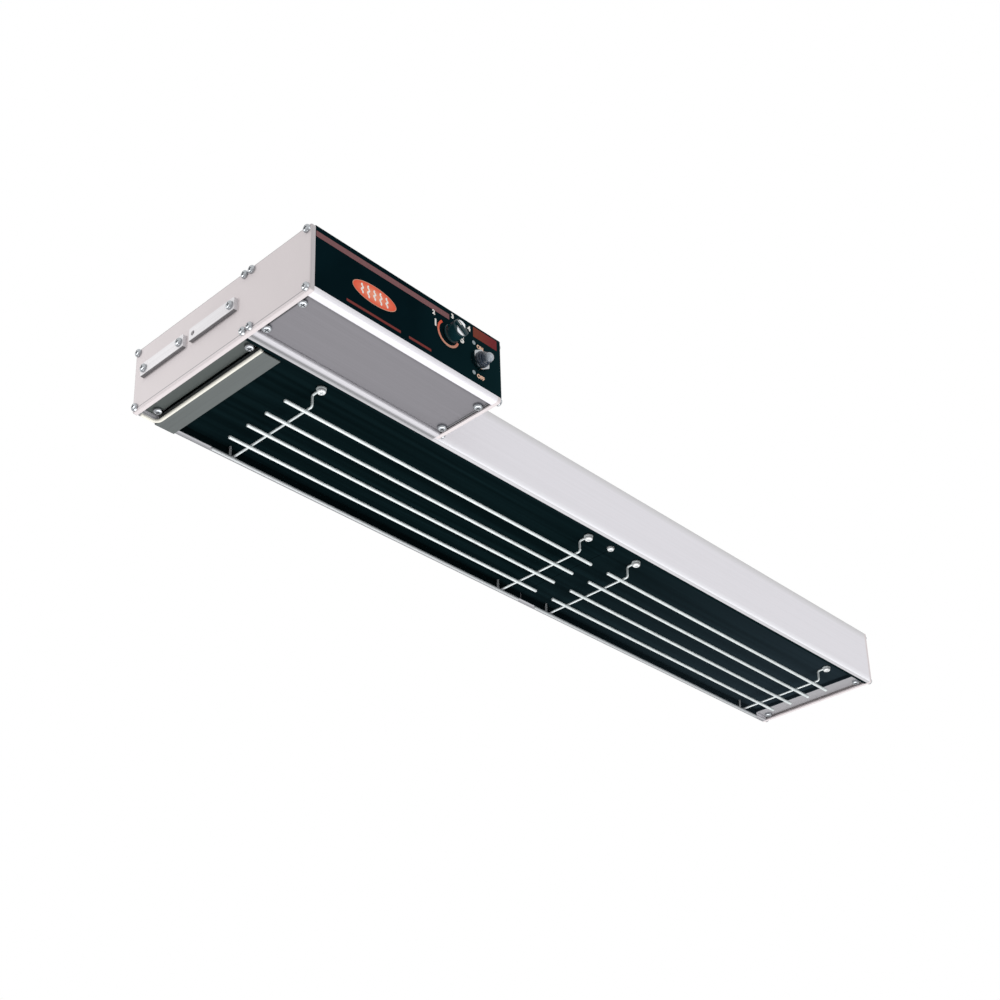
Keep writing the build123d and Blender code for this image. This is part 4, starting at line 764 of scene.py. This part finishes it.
class WARMER_OT_panel(WarmerOperator):
    """Paints the control panel and prints its stripe, badge, dial and words"""
    bl_idname = "warmer.panel"
    bl_label = "Control Panel"

    def execute(self, context):
        finishes = context.scene.warmer_finishes
        sizes = context.scene.warmer_print
        paint = painted_metal("black_panel_paint", finishes.panel, 0.45, 0.2, 0.0)
        # Painted light: the panel grows lighter towards its right end.
        cover_colour(paint, finishes.panel_right_light, ramp(paint, "X", PANEL_LOW.x + 100.0 * MM, PANEL_HIGH.x))
        dress(paint, "control_panel")
        white = printed_ink("white_print", finishes.print_white)
        self.patch("panel_stripe", printed_ink("rose_print", finishes.print_rose), sizes, 0.6 * MM,
                   sizes.stripe_end, sizes.stripe_low, sizes.stripe_high, 0.3 * MM)
        self.add_red_block(sizes, finishes)
        self.add_badge(sizes, finishes, white)
        self.add_lines(sizes, finishes)
        self.add_dial(sizes, finishes, white)
        peach = printed_ink("peach_print", finishes.print_peach)
        for words, across, up in WORDS:
            panel_text(words, sizes.label_size, SWITCH.x + across * MM, SWITCH.z + up * MM,
                       sizes.thickness, peach, words.lower() + "_label")
        return {"FINISHED"}

    def patch(self, name, material, sizes, left, right, low, high, rounding):
        """A printed area, its edges from the panel's left and lower edges."""
        form = bmesh.new()
        add_block(form, (PANEL_LOW.x + left, PANEL_FACE - sizes.thickness, PANEL_LOW.z + low),
                  (PANEL_LOW.x + right, PANEL_FACE, PANEL_LOW.z + high), rounding)
        add_piece(name, form, material, HOUSING)

    def add_red_block(self, sizes, finishes):
        ink = printed_ink("block_print", finishes.print_block)
        along = fade(ink, "X", PANEL_LOW.x, *BLOCK_FADE)
        feed(ink, "Base Color", colour_ramp(ink, along, finishes.print_block, finishes.print_block_end))
        self.patch("panel_block", ink, sizes, *[edge * MM for edge in BLOCK])

    def add_lines(self, sizes, finishes):
        ink = printed_ink("dark_red_print", finishes.print_dark)
        low = sizes.line_rise - sizes.line_height / 2
        for name, left, right in LINE_ENDS:
            self.patch(name, ink, sizes, left * MM, right * MM, low, low + sizes.line_height, 0.5 * MM)

    def add_badge(self, sizes, finishes, light):
        """An oval badge, paler in its middle, with a thin rim and five heat waves."""
        centre = Vector((PANEL_LOW.x + (sizes.badge_left + sizes.badge_right) / 2, PANEL_FACE,
                         PANEL_LOW.z + (sizes.badge_low + sizes.badge_high) / 2))
        half_width = (sizes.badge_right - sizes.badge_left) / 2
        half_height = (sizes.badge_high - sizes.badge_low) / 2
        rim = printed_ink("badge_rim_print", finishes.print_orange)
        self.oval("badge_rim", rim, centre, half_width, half_height, sizes.thickness)
        field = printed_ink("red_print", finishes.print_red)
        inward = self.oval_share(field, centre, half_width, half_height)
        feed(field, "Base Color", colour_ramp(field, inward, finishes.print_red, finishes.badge_middle))
        self.oval("badge_field", field, centre, half_width - BADGE_RIM, half_height - BADGE_RIM,
                  sizes.thickness * BADGE_LAYERS)
        level = PANEL_FACE - BADGE_LAYERS * sizes.thickness
        runs = []
        for place in (-2, -1, 0, 1, 2):
            reach = half_height * (ODD_REACH if place % 2 else EVEN_REACH)
            x = centre.x + place * WAVE_SPACING
            runs.append([(x + WAVE_SWAY * math.sin(math.radians(90 * index)), level,
                          centre.z + reach * (index / 4 - 1)) for index in range(9)])
        form = sweep_round(runs, WAVE_RADIUS, "heat_waves", smooth=True)
        for vertex in form.verts:
            vertex.co.y = level + (vertex.co.y - level) * WAVE_FLATTEN
        add_piece("heat_waves", form, light, HOUSING)

    def oval_share(self, material, centre, half_width, half_height):
        """1 in the middle of an oval on the panel, falling to 0 at its edge."""
        scale = (1 / half_width, 1.0, 1 / half_height)
        place = add_node(material, "Mapping", {"Vector": object_place(material), "Scale": scale,
                                               "Location": [-c * s for c, s in zip(centre, scale)]})
        return add_node(material, "TexGradient", {"Vector": place}, "Fac", gradient_type="SPHERICAL")

    def oval(self, name, material, centre, half_width, half_height, thickness):
        form = bmesh.new()
        place = Matrix.Translation(centre) @ Matrix.Diagonal((half_width, 1.0, half_height, 1.0))
        bmesh.ops.create_circle(form, cap_ends=True, segments=72, radius=1.0,
                                matrix=place @ Matrix.Rotation(math.pi / 2, 4, "X"))
        thicken(form, thickness)
        add_piece(name, form, material, HOUSING)

    def add_dial(self, sizes, finishes, white):
        """An arc that pales as it goes round below the knob, plain figures beside it, and dots."""
        ink = printed_ink("arc_print", finishes.print_red)
        downward = fade(ink, "Z", DIAL.z, 8.0, -12.0)
        feed(ink, "Base Color", colour_ramp(ink, downward, finishes.print_red, finishes.print_orange))
        inner = sizes.arc_radius - sizes.arc_width / 2
        outer = sizes.arc_radius + sizes.arc_width / 2
        centre = Vector((DIAL.x - sizes.arc_shift, PANEL_FACE, DIAL.z))
        flat = [(inner, 0.0), (outer, 0.0), (outer, sizes.thickness), (inner, sizes.thickness)]
        form = bmesh.new()
        section = form.faces.new([form.verts.new(centre + Vector((radius, -depth, 0)))
                                  for radius, depth in flat])
        bmesh.ops.rotate(form, verts=form.verts, cent=centre,
                         matrix=Matrix.Rotation(-sizes.arc_start, 3, "Y"))
        bmesh.ops.spin(form, geom=[section], cent=centre, axis=(0, -1, 0), steps=60, angle=sizes.arc_sweep)
        add_piece("dial_arc", form, ink, HOUSING)
        for words, size, across, up in FIGURES:
            panel_text(words, size * MM, DIAL.x + across * MM, DIAL.z + up * MM, sizes.thickness, white,
                       "dial_figure_" + words)
        grey = printed_ink("grey_print", finishes.print_grey)
        for index, (across, up) in enumerate(DOTS):
            place = Vector((SWITCH.x + across * MM, PANEL_FACE, SWITCH.z + up * MM))
            self.oval("panel_dot_%d" % index, grey, place, DOT_RADIUS, DOT_RADIUS, sizes.thickness)


class WARMER_OT_knob(WarmerOperator):
    """Turns the heat knob with a grip across its face, with bright metal crescents beside the grip as painted
    highlights
    """
    bl_idname = "warmer.knob"
    bl_label = "Heat Knob"

    def execute(self, context):
        finishes = context.scene.warmer_finishes
        shape = context.scene.warmer_controls
        gloss = moulded_plastic("gloss_black_knob", finishes.knob, 0.14, 0.22)
        body = self.add_body(shape, gloss)
        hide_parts("control_knob")
        self.add_highlights(finishes, shape)
        self.add_grip(shape, gloss)
        self.add_pointer(finishes, shape)
        return {"FINISHED"}

    def add_body(self, shape, gloss):
        """A knob hollow at its back, with a low collar and a rounded front edge."""
        radius = (KNOB_HIGH.x - KNOB_LOW.x) / 2
        face = KNOB_HIGH.y - KNOB_LOW.y - shape.grip_height
        hollow, wall = radius * 0.74, 2.7 * MM
        chamfer, collar, step = 0.3 * MM, 1.6 * MM, 0.4 * MM
        profile = [(0.0, wall), (hollow, wall), (hollow, 0.0), (radius - chamfer, 0.0), (radius, chamfer),
                   (radius, collar), (radius - step, collar + step)]
        profile += [(shape.knob_front - shape.knob_round * (1 - cosine),
                     face - shape.knob_round * (1 - sine)) for cosine, sine in quarter_turn(6)]
        profile.append((0.0, face))
        form = bmesh.new()
        spin_profile(form, profile, Vector((DIAL.x, KNOB_HIGH.y, DIAL.z)), shape.knob_steps)
        return add_piece("heat_knob", form, gloss, KNOB)

    def face_place(self, shape):
        """A frame on the knob's face: X along the grip, towards its lower end, and Y to the rear."""
        place = Matrix.Translation((DIAL.x, KNOB_LOW.y + shape.grip_height, DIAL.z))
        return place @ Matrix.Rotation(shape.grip_tilt, 4, "Y")

    def add_to_face(self, name, form, shape, material, slot):
        """A piece made on the knob's face."""
        bmesh.ops.transform(form, matrix=self.face_place(shape), verts=form.verts)
        add_piece(name, form, material, KNOB)

    def add_highlights(self, finishes, shape):
        """Two bright metal crescents, one on each side of the grip, as painted highlights."""
        reach = shape.knob_front - shape.knob_round * 0.55
        gap, thickness = 0.25 * MM, 0.35 * MM
        form = bmesh.new()
        for way in (1, -1):
            made = bmesh.ops.create_circle(form, cap_ends=True, segments=64, radius=reach,
                                           matrix=Matrix.Rotation(math.pi / 2, 4, "X"))["verts"]
            geometry = made + edges_of(made) + list(made[0].link_faces)
            edge = way * (shape.grip_width / 2 + gap)
            bmesh.ops.bisect_plane(form, geom=geometry, plane_co=(0, 0, edge), plane_no=(0, 0, -way),
                                   clear_outer=True)
        for way in (1, -1):
            cut = Matrix.Rotation(-shape.grip_tilt, 3, "Y") @ Vector((way, 0, 0))
            geometry = list(form.verts) + list(form.edges) + list(form.faces)
            bmesh.ops.bisect_plane(form, geom=geometry, plane_co=cut * shape.highlight_half, plane_no=cut,
                                   clear_outer=True)
        thicken(form, thickness)
        # Painted highlights: bright metal crescents that stand for the gloss on the knob's face.
        polished = plated_steel("polished_inlay", finishes.knob_highlight, 0.12, 0.6)
        self.add_to_face("knob_inlays", form, shape, polished, "chrome_parts")

    def add_grip(self, shape, gloss):
        reach = shape.knob_front - 0.2 * MM
        half = shape.grip_width / 2
        form = bmesh.new()
        add_block(form, (-reach, -shape.grip_height, -half), (reach, 0.0, half), 0.9 * MM, segments=4,
                  all_round=True)
        self.add_to_face("knob_grip", form, shape, gloss, "knob")

    def add_pointer(self, finishes, shape):
        """A light mark along the upper half of the grip."""
        half_depth, half_width = 0.08 * MM, 0.45 * MM
        form = bmesh.new()
        add_block(form, (-0.85 * shape.knob_front, -shape.grip_height - half_depth, -half_width),
                  (-0.25 * shape.knob_front, -shape.grip_height + half_depth, half_width))
        ink = printed_ink("pointer_inlay", finishes.print_white)
        self.add_to_face("knob_pointer", form, shape, ink, "knob")


class WARMER_OT_switch(WarmerOperator):
    """Makes the clear boot over the switch's lever"""
    bl_idname = "warmer.switch"
    bl_label = "Toggle Switch"

    def execute(self, context):
        finishes = context.scene.warmer_finishes
        shape = context.scene.warmer_controls
        face = NUT_LOW.y
        low, high = corners("switch_boot")
        root_radius = (NUT_HIGH.x - NUT_LOW.x) * 0.40
        tip_radius = (high.x - low.x) * 0.335
        root, collar = -0.4 * MM, 0.8 * MM
        neck = (face - low.y) / math.cos(REST_TILT) - tip_radius
        profile = [(root_radius, root), (root_radius, collar)]
        for step in range(1, 25):
            share = step / 24
            rib = shape.boot_rib * math.cos(share * 6 * math.pi) * (1 - share)
            profile.append((root_radius + (tip_radius - root_radius) * share + rib,
                            collar + (neck - collar) * share))
        profile += [(tip_radius * cosine, neck + tip_radius * sine) for cosine, sine in quarter_turn(12, 1)]
        form = bmesh.new()
        spin_profile(form, profile, Vector((SWITCH.x, face, SWITCH.z)), shape.boot_steps)
        bmesh.ops.remove_doubles(form, verts=form.verts, dist=MERGE_WITHIN)
        bmesh.ops.holes_fill(form, edges=[edge for edge in form.edges if edge.is_boundary], sides=0)
        self.lean(form, face)
        silicone = self.silicone(finishes.boot, finishes.boot_tip)
        boot = add_piece("toggle_boot", form, silicone, None, sharp=60.0)
        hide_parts("switch_boot")
        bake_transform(boot)
        return {"FINISHED"}

    def lean(self, form, face):
        """Leans the boot down with the lever, more and more from the nut's face to its neck."""
        for vertex in form.verts:
            share = min(1.0, max(0.0, (face - vertex.co.y) / (4.0 * MM)))
            share = share * share * (3 - 2 * share)
            turn = Matrix.Rotation(REST_TILT * share, 3, "X")
            vertex.co = PIVOT + turn @ (vertex.co - PIVOT)

    def silicone(self, base, tip):
        material = plain_material("smoky_silicone", base, 0.0, 0.16)
        shader = material.node_tree.nodes["Principled BSDF"]
        shader.inputs["Transmission Weight"].default_value = 0.35
        shader.inputs["IOR"].default_value = 1.41
        shader.inputs["Subsurface Weight"].default_value = 0.15
        shader.inputs["Subsurface Radius"].default_value = (0.002, 0.002, 0.002)
        haze = noise(material, 320.0, detail=4.0)
        vary_roughness(material, haze, 0.10, 0.26)
        bump(material, haze, 0.06, 0.05 * MM)
        # Lighter towards the tip: a painted highlight, with the bright lever inside the boot.
        outward = fade(material, "Y", NUT_LOW.y, -6.0, -12.5)
        feed(material, "Base Color", colour_ramp(material, outward, base, tip))
        return material


class WARMER_OT_blankets(WarmerOperator):
    """Makes the two fibre blankets behind the emitters"""
    bl_idname = "warmer.blankets"
    bl_label = "Insulation"

    def execute(self, context):
        base = context.scene.warmer_finishes.fibre
        fibre = plain_material("fibre_blanket", base, 0.0, 0.95, 0.1)
        wool = noise(fibre, (90.0, 90.0, 240.0), detail=8.0, distortion=1.2)
        vary_colour(fibre, wool, base, 0.12)
        bump(fibre, wool, 0.6, 0.6 * MM)
        rounding, dent = 3.0 * MM, 0.5 * MM
        for node in ("left_insulation", "right_insulation"):
            low, high = corners(node)
            form = bmesh.new()
            add_block(form, low, high, rounding, segments=3, all_round=True)
            long_edges = [e for e in form.edges if e.calc_length() > (high.y - low.y) / 2]
            bmesh.ops.subdivide_edges(form, edges=long_edges, cuts=24, use_grid_fill=True)
            for vertex in form.verts:
                wave = math.sin(vertex.co.x * 61.0) * math.cos(vertex.co.y * 83.0)
                inward = -1 if vertex.co.z > (low.z + high.z) / 2 else 1
                vertex.co.z += inward * dent * (1 + wave)
            blanket = add_piece(node.replace("insulation", "blanket"), form, fibre, HOUSING)
            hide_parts(node)
        return {"FINISHED"}


class WARMER_OT_inner_parts(WarmerOperator):
    """Finishes the elements, clamps, wiring and switch cases inside"""
    bl_idname = "warmer.inner_parts"
    bl_label = "Inner Parts"

    def execute(self, context):
        finishes = context.scene.warmer_finishes
        dress(plated_steel("oxidised_sheath", finishes.sheath, 0.42), "left_heating_element",
              "right_heating_element")
        sheet = drawn_metal("galvanised_sheet", finishes.galvanised, 0.8, 0.35, 0.60, grain=60.0, spread=0.12)
        dress(sheet, "left_clamp_bars", "right_clamp_bars", "center_strap", "heat_shield")
        dress(moulded_plastic("dark_phenolic", finishes.phenolic, 0.40), "heat_control", "toggle_switch")
        dress(moulded_plastic("pale_phenolic", finishes.phenolic_pale, 0.50), "terminal_block")
        dress(plated_steel("plain_brass", finishes.brass, 0.28), "terminal_screws")
        dress(painted_metal("green_screw", finishes.ground_green, 0.40), "ground_screw")
        dress(self.braid("braided_sleeve", finishes.sleeve, 0.75), "left_element_leads",
              "right_element_leads")
        dress(self.braid("black_lead", finishes.lead, 0.45), "control_leads")
        return {"FINISHED"}

    def braid(self, name, base, roughness):
        sleeve = plain_material(name, base, 0.0, roughness, 0.3)
        weave = noise(sleeve, 900.0, detail=2.0)
        vary_colour(sleeve, weave, base, 0.15)
        bump(sleeve, weave, 0.3, 0.08 * MM)
        return sleeve


# The lamps: name, place and width in metres, and the setting that gives the power.
LAMPS = (("front_lamp", (0.3, -2.2, -0.15), 1.6, "key_power"),
         ("low_lamp", (0.05, 0.1, UNDERSIDE - 1.2), 1.5, "fill_power"),
         ("end_lamp", (-1.0, 0.42, 0.20), 0.18, "end_power"))
LAMP_AIM = Vector((-0.1, -0.05, -0.03))
FLOOR_RADIUS = 14.0
SENSOR_WIDTH = 36.0
CLIP = (0.01, 60.0)


class WARMER_OT_stage(WarmerOperator):
    """Sets the floor, the even light, the lamps and the camera"""
    bl_idname = "warmer.stage"
    bl_label = "Stage"

    def execute(self, context):
        scene = context.scene
        stage = scene.warmer_stage
        scene.view_settings.view_transform = "Standard"
        self.add_floor(stage)
        self.set_world(scene, stage)
        for name, place, size, power in LAMPS:
            self.add_lamp(scene, name, place, size, getattr(stage, power))
        self.add_camera(scene, stage)
        return {"FINISHED"}

    def add_floor(self, stage):
        material = plain_material("pale_floor", stage.floor_colour, 0.0, 0.85, 0.1)
        vary_colour(material, noise(material, 1.5), stage.floor_colour, 0.01)
        form = bmesh.new()
        bmesh.ops.create_circle(form, cap_ends=True, segments=96, radius=FLOOR_RADIUS,
                                matrix=Matrix.Translation((0, 0, UNDERSIDE - stage.floor_drop)))
        floor = add_object("floor", form, material)

    def set_world(self, scene, stage):
        """White where the camera, gloss or glass sees it, and an even light on everything else."""
        world = bpy.data.worlds.new("studio")
        world.use_nodes = True
        scene.world = world
        background = world.node_tree.nodes["Background"]
        background.inputs["Color"].default_value = (1.0, 1.0, 1.0, 1.0)
        seen = add_node(world, "LightPath", output="Is Camera Ray")
        path = seen.node.outputs
        for ray in ("Is Glossy Ray", "Is Transmission Ray"):
            seen = add_node(world, "Math", {0: seen, 1: path[ray]}, operation="MAXIMUM")
        strength = add_node(world, "MapRange", {"Value": seen, "To Min": stage.ambient, "To Max": 1.0})
        world.node_tree.links.new(strength, background.inputs["Strength"])

    def add_lamp(self, scene, name, place, size, power):
        light = bpy.data.lights.new(name, "AREA")
        light.shape = "DISK"
        light.size = size
        light.energy = power
        lamp = bpy.data.objects.new(name, light)
        lamp.location = place
        lamp.rotation_mode = "QUATERNION"
        lamp.rotation_quaternion = (LAMP_AIM - Vector(place)).to_track_quat("-Z", "Y")
        lamp.visible_camera = False
        scene.collection.objects.link(lamp)

    def add_camera(self, scene, stage):
        data = bpy.data.cameras.new("camera")
        data.lens = stage.lens
        data.sensor_width = SENSOR_WIDTH
        data.shift_y = stage.shift
        data.clip_start, data.clip_end = CLIP
        camera = bpy.data.objects.new("camera", data)
        azimuth, pitch = stage.camera_azimuth, stage.camera_pitch
        look = Vector((math.sin(azimuth) * math.cos(pitch), math.cos(azimuth) * math.cos(pitch),
                       math.sin(pitch)))
        camera.location = stage.camera_place
        camera.rotation_mode = "QUATERNION"
        roll = Matrix.Rotation(stage.camera_roll, 4, "Z").to_quaternion()
        camera.rotation_quaternion = look.to_track_quat("-Z", "Y") @ roll
        scene.collection.objects.link(camera)
        scene.camera = camera


OPERATORS = (
    WARMER_OT_extrusions,
    WARMER_OT_end_plates,
    WARMER_OT_covers,
    WARMER_OT_seams,
    WARMER_OT_fasteners,
    WARMER_OT_emitters,
    WARMER_OT_guards,
    WARMER_OT_panel,
    WARMER_OT_knob,
    WARMER_OT_switch,
    WARMER_OT_blankets,
    WARMER_OT_inner_parts,
    WARMER_OT_stage,
)


class WARMER_PT_sidebar(bpy.types.Panel):
    """Lists the warmer's pieces and its finishes."""
    bl_idname = "WARMER_PT_sidebar"
    bl_label = "Strip Food Warmer"
    bl_space_type = "VIEW_3D"
    bl_region_type = "UI"
    bl_category = "Warmer"

    def draw(self, context):
        column = self.layout.column(align=True)
        for operator in OPERATORS:
            column.operator(operator.bl_idname)
        for group in GROUPS:
            settings = getattr(context.scene, group)
            box = self.layout.box()
            for name in settings.bl_rna.properties.keys():
                if name not in ("rna_type", "name"):
                    box.prop(settings, name)


GROUPS = {
    "warmer_finishes": WarmerFinishes,
    "warmer_print": WarmerPrint,
    "warmer_controls": WarmerControls,
    "warmer_stage": WarmerStage,
}


CLASSES = (*GROUPS.values(), *OPERATORS, WARMER_PT_sidebar)


def register():
    for item in CLASSES:
        bpy.utils.register_class(item)
    for name, group in GROUPS.items():
        setattr(bpy.types.Scene, name, PointerProperty(type=group))


def unregister():
    for name in GROUPS:
        delattr(bpy.types.Scene, name)
    for item in reversed(CLASSES):
        bpy.utils.unregister_class(item)


def main():
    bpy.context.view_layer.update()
    register()
    for operator in OPERATORS:
        group, name = operator.bl_idname.split(".")
        getattr(getattr(bpy.ops, group), name)()


if __name__ == "__main__":
    main()
